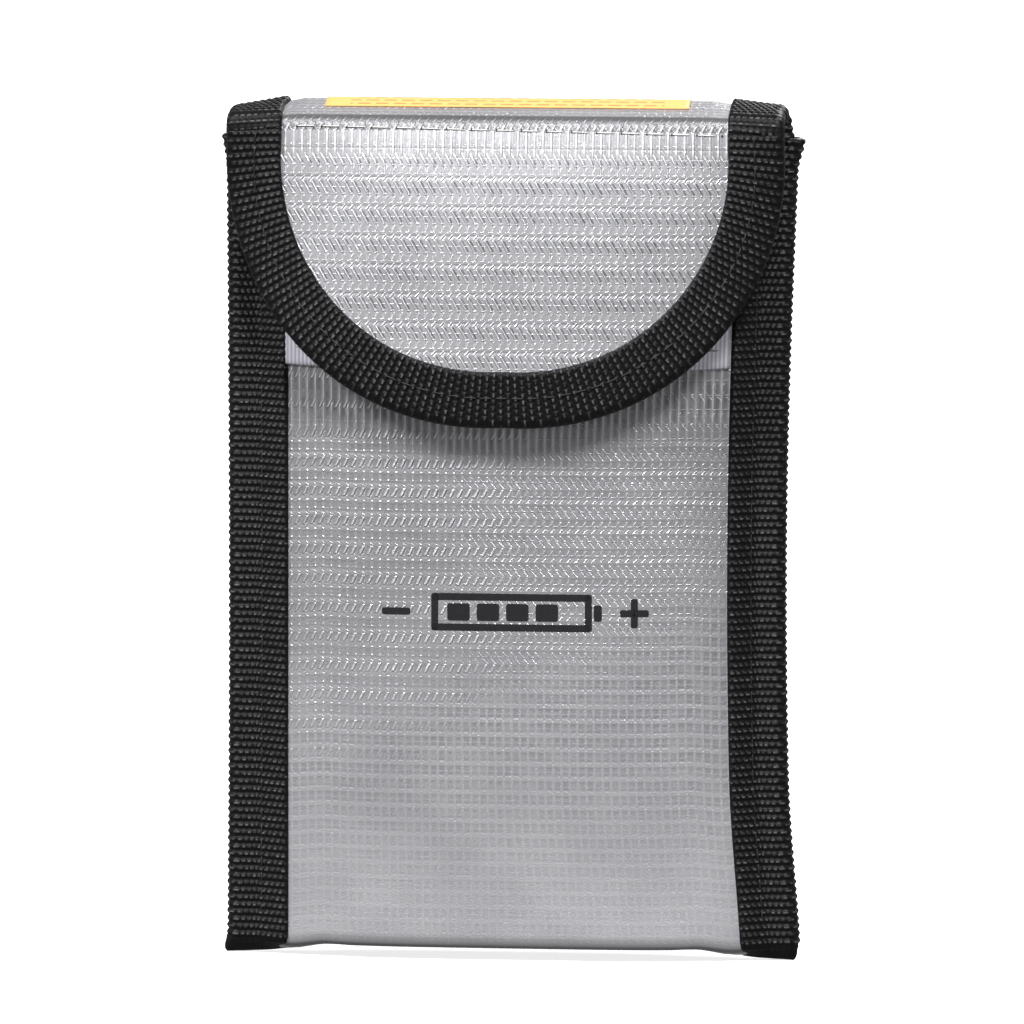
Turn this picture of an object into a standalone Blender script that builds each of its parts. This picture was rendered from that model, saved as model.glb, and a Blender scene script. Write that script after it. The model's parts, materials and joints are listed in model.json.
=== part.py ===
"""Fire-resistant pouch for a small lithium-polymer battery pack.

A two-layer bag of coated glass-fibre cloth stands on its flat bottom, with its
front towards -Y. The cloth runs down the front, under the bottom and up the back.
Webbing tape binds the side seams. At the top the back cloth folds twice: once along
the ridge into a narrow top strip, and once along the front fold into a half-round
flap, which a hook-and-loop closure holds against the front.

Metres, +Z up. The origin is the middle of the bottom, on the surface it stands on.
"""
import math

import bmesh
import bpy
from mathutils import Vector

MM = 0.001
MODEL_NAME = "battery_safe_pouch"
FRONT = -1
BACK = 1
LEFT = -1
RIGHT = 1

# ---------------------------------------------------------------- driving sizes
BAG_HALF_WIDTH = 52.5 * MM
MOUTH_HEIGHT = 149.0 * MM
RIDGE_HEIGHT = 157.8 * MM
STUFFING = 8.5 * MM             # how far front and back bulge from the seams
FLAP_RADIUS = 51.6 * MM
TAPE_WIDTH = 11.0 * MM          # how much of a folded tape shows from one side
LABEL_HALF_WIDTH = 33.6 * MM

# ---------------------------------------------------------------- layers
CLOTH = 0.6 * MM
LINER = 0.4 * MM
TAPE = 0.8 * MM
LABEL = 0.2 * MM
HOOK_AND_LOOP = 1.0 * MM
FACING = 0.5 * MM
GAP = 0.25 * MM
THREAD_RADIUS = 0.2 * MM
THREAD_GAP = 0.25 * MM

LINER_DEPTH = CLOTH + GAP                       # outer face of the liner, below the shell's
STACK = LINER_DEPTH + LINER                     # both layers
MID_STACK = STACK / 2
SEAM_HALF = STACK + 0.15 * MM                   # shell surface from the seam's mid-plane
TAPE_OUT = GAP + TAPE                           # tape's outer face above the cloth it binds
FACING_OUT = GAP + FACING
LOOP_OUT = FACING_OUT + GAP + HOOK_AND_LOOP

# ---------------------------------------------------------------- body
CLOTH_EDGE_X = BAG_HALF_WIDTH - 2.1 * MM        # raw edge of the cloth, inside the tape
TURN_X = CLOTH_EDGE_X - 0.4 * MM                # middle of the side tape's fold
SEAM_X = CLOTH_EDGE_X - 4.0 * MM
TAPE_INNER_X = BAG_HALF_WIDTH - TAPE_WIDTH
WAIST = 0.022                                   # share of the width lost halfway up
SEAM_LIFT = 1.15 * MM                           # room for the tape under the seams
BOTTOM_RADIUS = 4.5 * MM
BOTTOM_PRESSED = 1.7 * MM                       # how far the bottom is pressed flat
BOTTOM_FULLNESS = 0.84                          # share of the full bulge at the bottom edge
MOUTH_FULLNESS = 0.85                           # and at the mouth
FILLS_OUT = (10.0 * MM, 46.0 * MM)              # heights between which the walls reach their full bulge
NARROWS = (110.0 * MM, 149.0 * MM)              # heights between which the front narrows to the mouth
BACK_FLATTENS = (88.0 * MM, 149.0 * MM)         # heights between which the back wall flattens
LIFT_STARTS_X = 33.0 * MM                       # the bottom edge rises from here to the side tape
HEM_BOTTOM = 109.5 * MM
HEM_INSIDE = 6.0 * MM
HEM_HALF_WIDTH = TAPE_INNER_X - 0.5 * MM

COLUMNS = [x * MM for x in (12.0, 22.0, 30.0, 36.5)] + [TAPE_INNER_X, SEAM_X, CLOTH_EDGE_X]
BODY_COLUMNS = [-x for x in reversed(COLUMNS)] + [0.0] + COLUMNS
WALL_TOP = 149.0 * MM
WALL_HEIGHTS = [z * MM for z in (10, 20, 32, 46, 60, 74, 88, 99, 109.5, 119, 129, 139)] + [WALL_TOP]
TURN_ANGLES = [math.radians(angle) for angle in (0, 21, 42, 65, 90, 115, 138, 159, 180)]

# ---------------------------------------------------------------- folds
RIDGE = Vector((0.0, SEAM_HALF - MID_STACK, RIDGE_HEIGHT))
FRONT_FOLD = Vector((0.0, -11.6 * MM, 154.2 * MM))
RIDGE_CLEARANCE = 2.6 * MM
FOLD_CLEARANCE = 1.5 * MM
STRIP_CROWN = 0.3 * MM

# ---------------------------------------------------------------- flap
FLAP_CENTRE_Z = 150.0 * MM
FLAP_TURN_RADIUS = FLAP_RADIUS - MID_STACK - TAPE_OUT
FLAP_CLOTH_RADIUS = FLAP_TURN_RADIUS + 0.3 * MM
FLAP_INNER_RADIUS = FLAP_RADIUS - TAPE_WIDTH
FLAP_BOTTOM = FLAP_CENTRE_Z - FLAP_RADIUS
FLAP_LEAN = 1.1 * MM
FLAP_BOW = 2.1 * MM
FLAP_SIDE_SET_BACK = 8.5 * MM
FLAP_HUG_DROP = 0.6                             # share of the drop over which the sides set back
CLOSURE_CENTRE_Z = 124.5 * MM
LOOP_HALF_SIZE = (26.0 * MM, 9.5 * MM)
HOOK_HALF_SIZE = (22.5 * MM, 7.0 * MM)
LABEL_BOTTOM = 118.0 * MM


# ================================================================ helpers
def clear_scene():
    for item in list(bpy.data.objects):
        bpy.data.objects.remove(item, do_unlink=True)


def material(name, colour, roughness, metallic=0.0):
    made = bpy.data.materials.new(name)
    made.use_nodes = True
    shader = made.node_tree.nodes["Principled BSDF"]
    shader.inputs["Base Color"].default_value = (*colour, 1.0)
    shader.inputs["Roughness"].default_value = roughness
    shader.inputs["Metallic"].default_value = metallic
    return made


def add_object(name, data, finish):
    made = bpy.data.objects.new(name, data)
    bpy.data.collections[MODEL_NAME].objects.link(made)
    data.materials.append(finish)
    return made


def smooth(share):
    """0 to 1 with level ends."""
    share = min(1.0, max(0.0, share))
    return share * share * (3.0 - 2.0 * share)


def smooth_between(value, limits):
    """0 below the lower limit, 1 above the upper one."""
    low, high = limits
    return smooth((value - low) / (high - low))


def sheet(name, across, along, place, thickness, finish):
    """A grid laid on the surface place(a, b), made solid behind its face.

    The face looks along the cross product of the two directions; a negative thickness
    makes the sheet solid in front of it.
    """
    columns = len(across) - 1
    rows = len(along) - 1
    grid = bmesh.new()
    bmesh.ops.create_grid(grid, x_segments=columns, y_segments=rows, size=0.5)
    for vertex in grid.verts:
        column = round((vertex.co.x + 0.5) * columns)
        row = round((vertex.co.y + 0.5) * rows)
        vertex.co = place(across[column], along[row])
    mesh = bpy.data.meshes.new(name)
    grid.to_mesh(mesh)
    grid.free()
    made = add_object(name, mesh, finish)
    solid = made.modifiers.new("thickness", "SOLIDIFY")
    solid.thickness = abs(thickness)
    solid.offset = -1.0 if thickness > 0 else 1.0
    mesh.shade_smooth()
    return made


def thread(name, points, finish, closed=False):
    """A sewing thread laid through the points."""
    curve = bpy.data.curves.new(name, "CURVE")
    curve.dimensions = "3D"
    curve.bevel_depth = THREAD_RADIUS
    curve.bevel_resolution = 2
    curve.use_fill_caps = True
    line = curve.splines.new("POLY")
    line.points.add(len(points) - 1)
    for slot, point in zip(line.points, points):
        slot.co = (*point, 1.0)
    line.use_cyclic_u = closed
    return add_object(name, curve, finish)


def spaced(start, end, count):
    """count + 1 values from start to end."""
    return [start + (end - start) * step / count for step in range(count + 1)]


# ================================================================ body surface
def fullness(x):
    """1 in the middle of the bag, 0 along its side seams."""
    return max(0.0, 1.0 - (abs(x) / SEAM_X) ** 4)


def bulge(z, side):
    """How far the filled bag stands out from its seams at height z."""
    share = BOTTOM_FULLNESS + (1.0 - BOTTOM_FULLNESS) * smooth_between(z, FILLS_OUT)
    if side == FRONT:
        share -= (1.0 - MOUTH_FULLNESS) * smooth_between(z, NARROWS)
    else:
        share *= 1.0 - smooth_between(z, BACK_FLATTENS)
    return STUFFING * share


def waist(z):
    return 1.0 - WAIST * math.sin(math.pi * min(1.0, max(0.0, z / WALL_TOP)))


def wall_point(x, side, z, inward=0.0):
    """A point of the front or back wall, inward of the shell's outer face."""
    depth = SEAM_HALF + bulge(z, side) * fullness(x) - inward
    return Vector((x * waist(z), side * depth, z))


def bottom_point(x, angle, inward=0.0):
    """A point of the rounded bottom: angle 0 is the front, 90 degrees is straight down."""
    depth = SEAM_HALF + bulge(0.0, FRONT) * fullness(x)
    radius = min(BOTTOM_RADIUS, depth)
    lift = SEAM_LIFT * smooth_between(abs(x), (LIFT_STARTS_X, TAPE_INNER_X))
    centre = radius + lift - BOTTOM_PRESSED * fullness(x) ** 0.5
    centre = max(centre, lift + 0.5 * radius)
    z = centre - (radius - inward) * math.sin(angle)
    return Vector((x, -(depth - inward) * math.cos(angle), max(z, lift + inward)))


def body_stations(front_top, back_top):
    """Rows down the front wall, round the bottom and up the back wall."""
    front = [("front", z) for z in reversed(WALL_HEIGHTS) if z < front_top]
    back = [("back", z) for z in WALL_HEIGHTS if z < back_top]
    turn = [("turn", angle) for angle in TURN_ANGLES]
    return [("front", front_top)] + front + turn + back + [("back", back_top)]


def body_point(x, station, inward=0.0):
    kind, value = station
    if kind == "turn":
        return bottom_point(x, value, inward)
    return wall_point(x, FRONT if kind == "front" else BACK, value, inward)


def make_body_cloth(silver):
    rows = body_stations(MOUTH_HEIGHT, RIDGE_HEIGHT - RIDGE_CLEARANCE)
    sheet("body_shell", BODY_COLUMNS, rows, body_point, -CLOTH, silver)
    sheet("body_liner", BODY_COLUMNS, rows,
          lambda x, station: body_point(x, station, LINER_DEPTH), -LINER, silver)


# ================================================================ side seams
def seam_rows():
    return [("wall", z) for z in reversed(WALL_HEIGHTS)] + [("turn", angle) for angle in TURN_ANGLES[:4]]


def seam_leg(x, side, row, inward):
    kind, value = row
    if kind == "wall":
        return wall_point(x, side, value, inward)
    return bottom_point(x, value if side == FRONT else math.pi - value, inward)


def side_tape_point(hand, column, row):
    """A point on the inner face of the folded side tape."""
    part, value = column
    if part == "leg_front":
        return seam_leg(hand * value, FRONT, row, -GAP)
    if part == "leg_back":
        return seam_leg(hand * value, BACK, row, -GAP)
    point = seam_leg(hand * TURN_X, FRONT, row, -GAP)
    point.x += hand * (SEAM_HALF + GAP) * math.sin(value)
    point.y *= math.cos(value)
    return point


def make_side_bindings(webbing, thread_black):
    legs = [TAPE_INNER_X, 44.0 * MM, SEAM_X, TURN_X]
    fold = [math.radians(angle) for angle in (45, 90, 135)]
    columns = [("leg_front", x) for x in legs] + [("fold", angle) for angle in fold]
    columns += [("leg_back", x) for x in reversed(legs)]
    for hand, word in ((LEFT, "left"), (RIGHT, "right")):
        sheet(f"side_binding_{word}", columns, seam_rows(),
              lambda column, row, hand=hand: side_tape_point(hand, column, row),
              hand * TAPE, webbing)
        for side, face in ((FRONT, "front"), (BACK, "back")):
            above = TAPE_OUT + THREAD_GAP + THREAD_RADIUS
            x = hand * (SEAM_X + 0.6 * MM)
            heights = spaced(5 * MM, WALL_TOP - 2 * MM, 12)
            points = [wall_point(x, side, z, -above) for z in heights]
            thread(f"seam_thread_{word}_{face}", points, thread_black)


# ================================================================ tape on the open edges
def edge_tape_columns():
    """Across a tape folded over one edge: outer leg, fold, inner leg."""
    legs = spaced(0.0, 1.0, 3)
    fold = [math.radians(angle) for angle in (45, 90, 135)]
    columns = [("outer", share) for share in legs] + [("fold", angle) for angle in fold]
    return columns + [("inner", share) for share in reversed(legs)]


def edge_tape(column, inner, turn):
    """Distance from the edge's middle line and height above the cloth's mid-surface."""
    part, value = column
    radius = MID_STACK + GAP
    if part == "fold":
        return turn + radius * math.sin(value), radius * math.cos(value)
    return inner + (turn - inner) * value, radius if part == "outer" else -radius


def neck_point(x, z, above):
    """The back cloth above the mouth, flat between the seams and the ridge."""
    return Vector((x, RIDGE.y + above, z))


def make_neck_bindings(webbing):
    heights = [WALL_TOP + 1.2 * MM, RIDGE_HEIGHT - RIDGE_CLEARANCE]
    for hand, word in ((LEFT, "left"), (RIGHT, "right")):
        def place(column, z, hand=hand):
            x, above = edge_tape(column, TAPE_INNER_X, TURN_X)
            return neck_point(hand * x, z, above)
        sheet(f"neck_binding_{word}", edge_tape_columns(), heights, place, hand * TAPE, webbing)


# ================================================================ mouth and closure
def hem_station(step):
    """(inward, height) along the facing: up the outside, over the edge, down the inside."""
    part, value = step
    outer = -FACING_OUT
    inner = STACK + FACING_OUT
    middle = (outer + inner) / 2
    radius = (inner - outer) / 2
    top = MOUTH_HEIGHT + GAP
    if part == "outside":
        return outer, value
    if part == "inside":
        return inner, value
    return middle - radius * math.cos(value), top + radius * math.sin(value)


def make_mouth_hem(silver, thread_grey):
    top = MOUTH_HEIGHT + GAP
    steps = [("outside", z) for z in WALL_HEIGHTS if HEM_BOTTOM <= z < WALL_TOP] + [("outside", top)]
    steps += [("over", math.radians(angle)) for angle in (45, 90, 135)]
    steps += [("inside", top), ("inside", top - HEM_INSIDE)]
    inner_columns = [x for x in BODY_COLUMNS if abs(x) < HEM_HALF_WIDTH]
    columns = [-HEM_HALF_WIDTH] + inner_columns + [HEM_HALF_WIDTH]

    def place(x, step):
        inward, z = hem_station(step)
        return wall_point(x, FRONT, z, inward)

    sheet("mouth_hem", columns, steps, place, FACING, silver)
    above = FACING_OUT + THREAD_GAP + THREAD_RADIUS
    across = spaced(-HEM_HALF_WIDTH + 1 * MM, HEM_HALF_WIDTH - 1 * MM, 16)
    points = [wall_point(x, FRONT, HEM_BOTTOM + 3.5 * MM, -above) for x in across]
    thread("hem_thread", points, thread_grey)


def rectangle_path(half_width, low, high, per_side):
    """(x, z) points around a rectangle."""
    corners = [(-half_width, low), (half_width, low), (half_width, high), (-half_width, high)]
    points = []
    for (x0, z0), (x1, z1) in zip(corners, corners[1:] + corners[:1]):
        xs = spaced(x0, x1, per_side)
        zs = spaced(z0, z1, per_side)
        points += list(zip(xs, zs))[:-1]
    return points


def make_loop_tape(velour, thread_grey):
    half_width, half_height = LOOP_HALF_SIZE
    low = CLOSURE_CENTRE_Z - half_height
    high = CLOSURE_CENTRE_Z + half_height
    sheet("loop_tape", spaced(-half_width, half_width, 6), spaced(low, high, 2),
          lambda x, z: wall_point(x, FRONT, z, -FACING_OUT - GAP), -HOOK_AND_LOOP, velour)
    inset = 1.0 * MM
    above = LOOP_OUT + THREAD_GAP + THREAD_RADIUS
    path = rectangle_path(half_width - inset, low + inset, high - inset, 5)
    points = [wall_point(x, FRONT, z, -above) for x, z in path]
    thread("loop_tape_thread", points, thread_grey, closed=True)


# ================================================================ top strip
STRIP_RUN = FRONT_FOLD - RIDGE
STRIP_DIRECTION = STRIP_RUN.normalized()
STRIP_UP = Vector((0.0, STRIP_DIRECTION.z, -STRIP_DIRECTION.y))
STRIP_START = RIDGE_CLEARANCE
STRIP_END = STRIP_RUN.length - FOLD_CLEARANCE
STRIP_STATIONS = spaced(STRIP_START, STRIP_END, 4)


def strip_point(x, distance, above):
    """A point on the top strip: distance from the ridge, height above the mid-surface."""
    share = distance / STRIP_RUN.length
    lift = above + STRIP_CROWN * math.sin(math.pi * share)
    return RIDGE + STRIP_DIRECTION * distance + STRIP_UP * lift + Vector((x, 0.0, 0.0))


def make_top_strip(silver, webbing, paper):
    columns = [-CLOTH_EDGE_X, -TAPE_INNER_X, 0.0, TAPE_INNER_X, CLOTH_EDGE_X]
    sheet("top_shell", columns, STRIP_STATIONS,
          lambda x, s: strip_point(x, s, MID_STACK), -CLOTH, silver)
    sheet("top_liner", columns, STRIP_STATIONS,
          lambda x, s: strip_point(x, s, MID_STACK - LINER_DEPTH), -LINER, silver)
    for hand, word in ((LEFT, "left"), (RIGHT, "right")):
        def place(column, s, hand=hand):
            x, above = edge_tape(column, TAPE_INNER_X, TURN_X)
            return strip_point(hand * x, s, above)
        sheet(f"top_binding_{word}", edge_tape_columns(), STRIP_STATIONS, place,
              hand * TAPE, webbing)
    sheet("label_top", [-LABEL_HALF_WIDTH, LABEL_HALF_WIDTH], STRIP_STATIONS[:3],
          lambda x, s: strip_point(x, s, MID_STACK + GAP), LABEL, paper)


def make_back_label(paper):
    heights = [LABEL_BOTTOM] + [z for z in WALL_HEIGHTS if z > LABEL_BOTTOM + 2 * MM]
    heights.append(RIDGE_HEIGHT - RIDGE_CLEARANCE)
    inner_columns = [x for x in BODY_COLUMNS if abs(x) < LABEL_HALF_WIDTH]
    columns = [-LABEL_HALF_WIDTH] + inner_columns + [LABEL_HALF_WIDTH]
    sheet("label_back", columns, heights,
          lambda x, z: wall_point(x, BACK, z, -GAP), LABEL, paper)


# ================================================================ flap
def flap_middle(x, z):
    """The y of the flap's mid-surface: straight at the fold, set back at the sides."""
    drop = (FRONT_FOLD.z - z) / (FRONT_FOLD.z - FLAP_BOTTOM)
    bow = FLAP_LEAN * drop + FLAP_BOW * math.sin(math.pi * min(1.0, drop))
    hug = math.sin(math.pi / 2 * min(1.0, drop / FLAP_HUG_DROP))
    sides = FLAP_SIDE_SET_BACK * hug * (abs(x) / FLAP_RADIUS) ** 4
    return FRONT_FOLD.y - bow + sides


def flap_point(x, z, above):
    return Vector((x, flap_middle(x, z) - above, z))


def flap_rows(radius):
    """(half width, height) of rows down the half disc."""
    top = FRONT_FOLD.z - FOLD_CLEARANCE
    angles = spaced(0.0, math.radians(75.0), 10) + [math.radians(83.0)]
    rows = [(radius * math.cos(a), FLAP_CENTRE_Z - radius * math.sin(a)) for a in angles]
    return [(radius, top)] + rows


def make_flap_cloth(silver):
    half = [0.3, 0.55, 0.7, 0.81, 0.88, 0.94, 1.0]
    shares = [-share for share in reversed(half)] + [0.0] + half
    rows = flap_rows(FLAP_CLOTH_RADIUS)
    sheet("flap_shell", shares, rows,
          lambda share, row: flap_point(share * row[0], row[1], MID_STACK), -CLOTH, silver)
    sheet("flap_liner", shares, rows,
          lambda share, row: flap_point(share * row[0], row[1], MID_STACK - LINER_DEPTH),
          -LINER, silver)


def flap_edge(distance, station):
    """(x, z) at a distance from the half disc's centre; stations run right to left."""
    kind, value = station
    if kind == "arc":
        return distance * math.cos(value), FLAP_CENTRE_Z - distance * math.sin(value)
    return (distance if kind == "right" else -distance), value


def flap_edge_stations(count):
    top = FRONT_FOLD.z - FOLD_CLEARANCE
    arcs = [("arc", angle) for angle in spaced(0.0, math.pi, count)]
    return [("right", top)] + arcs + [("left", top)]


def make_flap_binding(webbing, thread_grey):
    def place(column, station):
        distance, above = edge_tape(column, FLAP_INNER_RADIUS, FLAP_TURN_RADIUS)
        x, z = flap_edge(distance, station)
        if column[0] == "fold":
            x_turn, z_turn = flap_edge(FLAP_TURN_RADIUS, station)
            return Vector((x, flap_middle(x_turn, z_turn) - above, z))
        return flap_point(x, z, above)

    sheet("flap_binding", edge_tape_columns(), flap_edge_stations(24), place, TAPE, webbing)
    middle = (FLAP_INNER_RADIUS + FLAP_RADIUS) / 2
    above = MID_STACK + TAPE_OUT + THREAD_GAP + THREAD_RADIUS
    line = [flap_edge(middle, station) for station in flap_edge_stations(24)]
    thread("flap_binding_thread", [flap_point(x, z, above) for x, z in line], thread_grey)


def make_flap_fittings(hooks, thread_grey):
    half_width, half_height = HOOK_HALF_SIZE
    low = CLOSURE_CENTRE_Z - half_height
    high = CLOSURE_CENTRE_Z + half_height
    sheet("hook_tape", spaced(-half_width, half_width, 4), spaced(low, high, 2),
          lambda x, z: flap_point(x, z, -MID_STACK - GAP), HOOK_AND_LOOP, hooks)
    above = MID_STACK + THREAD_GAP + THREAD_RADIUS
    reach = FLAP_INNER_RADIUS - 0.6 * MM
    points = [flap_point(x, FRONT_FOLD.z - 2.4 * MM, above) for x in spaced(-reach, reach, 8)]
    thread("fold_thread", points, thread_grey)


# ================================================================ assembly
def build():
    clear_scene()
    model = bpy.data.collections.new(MODEL_NAME)
    bpy.context.scene.collection.children.link(model)

    silver = material("silver_cloth", (0.55, 0.55, 0.58), 0.38, 0.6)
    webbing = material("black_webbing", (0.012, 0.012, 0.014), 0.7)
    velour = material("loop_velour", (0.02, 0.02, 0.022), 0.95)
    hooks = material("hook_nylon", (0.03, 0.03, 0.032), 0.5)
    paper = material("yellow_label", (0.95, 0.72, 0.22), 0.45)
    thread_black = material("black_thread", (0.03, 0.03, 0.032), 0.6)
    thread_grey = material("grey_thread", (0.5, 0.5, 0.52), 0.5)

    make_body_cloth(silver)
    make_side_bindings(webbing, thread_black)
    make_neck_bindings(webbing)
    make_mouth_hem(silver, thread_grey)
    make_loop_tape(velour, thread_grey)
    make_top_strip(silver, webbing, paper)
    make_back_label(paper)
    make_flap_cloth(silver)
    make_flap_binding(webbing, thread_grey)
    make_flap_fittings(hooks, thread_grey)


build()
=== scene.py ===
"""Looks of the fire-resistant battery pouch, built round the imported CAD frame.

The pouch is one length of silver cloth: down the front, under the bottom, up the back,
over the ridge, along the top strip and down the flap. Every soft piece is laid on that
cloth by its pattern coordinates: x across the pouch and d, the distance along the cloth
from the mouth at the front. Webbing tape, stitches, label and print sit on top of it.
"""
import json
import math

import bmesh
import bpy
import numpy as np
from mathutils import Matrix, Vector


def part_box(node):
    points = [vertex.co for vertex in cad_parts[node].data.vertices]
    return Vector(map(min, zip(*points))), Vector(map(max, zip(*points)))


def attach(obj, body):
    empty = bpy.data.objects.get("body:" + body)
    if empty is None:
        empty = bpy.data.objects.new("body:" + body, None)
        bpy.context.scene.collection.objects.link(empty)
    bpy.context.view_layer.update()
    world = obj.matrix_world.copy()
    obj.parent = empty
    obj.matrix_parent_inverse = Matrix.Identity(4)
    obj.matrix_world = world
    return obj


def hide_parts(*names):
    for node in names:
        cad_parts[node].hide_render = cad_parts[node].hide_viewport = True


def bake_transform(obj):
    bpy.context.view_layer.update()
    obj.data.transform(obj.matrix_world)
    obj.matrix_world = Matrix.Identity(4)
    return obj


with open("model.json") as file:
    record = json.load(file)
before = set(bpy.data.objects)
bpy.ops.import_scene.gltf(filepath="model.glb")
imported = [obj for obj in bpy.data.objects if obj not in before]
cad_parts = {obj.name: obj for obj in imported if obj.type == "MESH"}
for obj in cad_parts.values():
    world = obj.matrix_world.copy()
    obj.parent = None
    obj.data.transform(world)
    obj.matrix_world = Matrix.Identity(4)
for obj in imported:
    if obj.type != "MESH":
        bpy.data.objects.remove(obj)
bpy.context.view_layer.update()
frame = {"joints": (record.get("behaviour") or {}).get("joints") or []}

MM = 0.001
FRONT = -1
BACK = 1
HANDS = ((-1, "left"), (1, "right"))

# ---------------------------------------------------------------- the frame's sizes
FOLDS = {joint["name"]: joint["pos_m"] for joint in frame["joints"]}
CREASE_LIFT = 0.85 * MM         # the cloth's crease stands a little above the hinge axis
RIDGE = np.array(FOLDS["top_fold"])
FRONT_FOLD = np.array(FOLDS["flap_fold"]) + np.array([0.0, 0.0, CREASE_LIFT])
BAG_HALF_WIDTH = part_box("side_binding_right")[1].x
MOUTH_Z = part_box("side_binding_right")[1].z
HEM_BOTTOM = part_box("mouth_hem")[0].z
LABEL_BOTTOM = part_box("label_back")[0].z
LABEL_HALF_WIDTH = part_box("label_back")[1].x
FLAP_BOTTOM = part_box("flap_binding")[0].z + CREASE_LIFT

# ---------------------------------------------------------------- layers, as in the CAD model
CLOTH = 0.6 * MM
LINER_DEPTH = 0.85 * MM
LINER = 0.4 * MM
LAYERS = {"cloth": (0.0, CLOTH), "lining": (-LINER_DEPTH, LINER)}   # height and thickness
MID_STACK = 0.625 * MM
SEAM_HALF = 1.4 * MM
TAPE_OUT = 1.05 * MM
FACING_OUT = 0.75 * MM

# ---------------------------------------------------------------- shape of the filled bag
CLOTH_EDGE_X = BAG_HALF_WIDTH - 2.1 * MM
TURN_X = CLOTH_EDGE_X - 0.4 * MM
SEAM_X = CLOTH_EDGE_X - 4.0 * MM
TAPE_INNER_X = BAG_HALF_WIDTH - 11.0 * MM
STUFFING = 8.5 * MM
BOTTOM_FULLNESS = 0.84
MOUTH_FULLNESS = 0.85
FILLS_OUT = (10 * MM, 36 * MM)          # the height where the bag starts to fill out, and its run
FRONT_TAPER = (110 * MM, 39 * MM)       # where the front thins towards the mouth
BACK_TAPER_Z = 88 * MM                  # and where the back does
WAIST = 0.022
SEAM_LIFT = 1.15 * MM
BOTTOM_RADIUS = 3.2 * MM
BOTTOM_PRESSED = 1.4 * MM
BODY_LEAN = 0.75 * MM
FOOT_HEIGHT = 34.0 * MM         # below this the right side spreads outwards
FOOT_SPREAD = 1.2 * MM
BOTTOM_RAISED = 2.4 * MM        # the filled bottom hangs this far above the corners of the tape
BOTTOM_HALF_X = 33 * MM         # and comes down from here to the seam
CORNER_DROOP = (2.9 * MM, 1.9 * MM)     # how far the ridge drops at its left and right ends
DROOP_FROM = TAPE_INNER_X - 3.5 * MM
SEAM_EASE = 0.05                # rounds the corner where the filled cloth meets the seam
FLAP_SHIFT = -0.5 * MM          # the strip and the flap sit a little to the left on the bag
FLAP_NARROWER = 0.014           # and are this share narrower

FLAP_CENTRE_Z = 150.0 * MM + CREASE_LIFT        # centre of the half disc
FLAP_FULLER = 0.034             # how far the half disc bulges out, halfway round, past a circle
FLAP_RADIUS = FLAP_CENTRE_Z - FLAP_BOTTOM
FLAP_TURN_RADIUS = FLAP_RADIUS - MID_STACK - TAPE_OUT
FLAP_LEAN = 2.8 * MM
FLAP_BOW = 1.2 * MM
FLAP_SIDE_SET_BACK = 8.5 * MM
FLAP_HUG_DROP = 0.6
FLAP_SPRING = 1.0 * MM          # the fold keeps the top of the flap sloping outwards
FLAP_SPRING_DROP = 0.16

RIDGE_ROUND = 2.8 * MM
FOLD_ROUND = 1.8 * MM
STRIP_CROWN = 0.3 * MM
STRIP = FRONT_FOLD - RIDGE
STRIP_LENGTH = float(np.linalg.norm(STRIP))
STRIP_ALONG = STRIP / STRIP_LENGTH
STRIP_UP = np.array([0.0, STRIP_ALONG[2], -STRIP_ALONG[1]])
STRIP_RUN = STRIP_LENGTH - RIDGE_ROUND - FOLD_ROUND
FLAP_RUN = FRONT_FOLD[2] - FOLD_ROUND - FLAP_BOTTOM
WALL_END = 2.8 * MM             # the walls end about this far above the bottom
BOTTOM_RUN = 20.2 * MM          # lengths of cloth round the bottom, the ridge and the fold
RIDGE_RUN = 4.1 * MM
FOLD_RUN = 3.15 * MM
NORMAL_STEP = 0.15 * MM
COARSE, FINE = 0.9 * MM, 0.25 * MM      # spacing of the cloth's points, and round the folds

# ---------------------------------------------------------------- embossed silver cloth
COLUMN = 1.53                   # millimetres of cloth between embossed columns
FLAP_ROW = 5.24                 # and between its rows, on the flap
BODY_ROW = 5.41                 # and on the body, where the cloth is pulled tighter
BODY_SHIFT = -0.054             # the body's rows start this share of a row late
FLAP_ASIDE = 0.33               # the flap's columns stand this share of a column to the left
# strokes pressed into every cell: share of the row where the stroke starts and ends, share of
# the column where it starts and ends, half width as a share of the column, and its strength
FLAP_STROKES = (
    (0.51, 0.93, -0.85, 0.00, 0.17, 1.00),
    (0.31, 0.50, 0.30, -0.20, 0.15, 0.55),
    (0.00, 0.24, 0.38, 0.00, 0.12, 0.30),
)
UPRIGHT_STROKE = (-0.10, 0.34, 0.0, 0.0, 0.17, 1.0)
FOLD_STROKE = (0.02, 0.30, 0.60, 0.0, 0.24, 1.9)
LEFT_STROKES = (
    (0.43, 0.74, 0.02, -0.50, 0.24, 1.30),
    (0.31, 0.41, -0.18, 0.14, 0.15, 0.60),
)
RIGHT_STROKES = (
    (0.00, 0.17, -0.05, 0.42, 0.16, 0.85),
    (0.22, 0.41, -0.50, 0.00, 0.15, 0.75),
    (0.77, 0.93, 0.28, -0.22, 0.15, 0.65),
    (0.50, 0.68, 0.10, -0.25, 0.13, 0.35),
)
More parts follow.
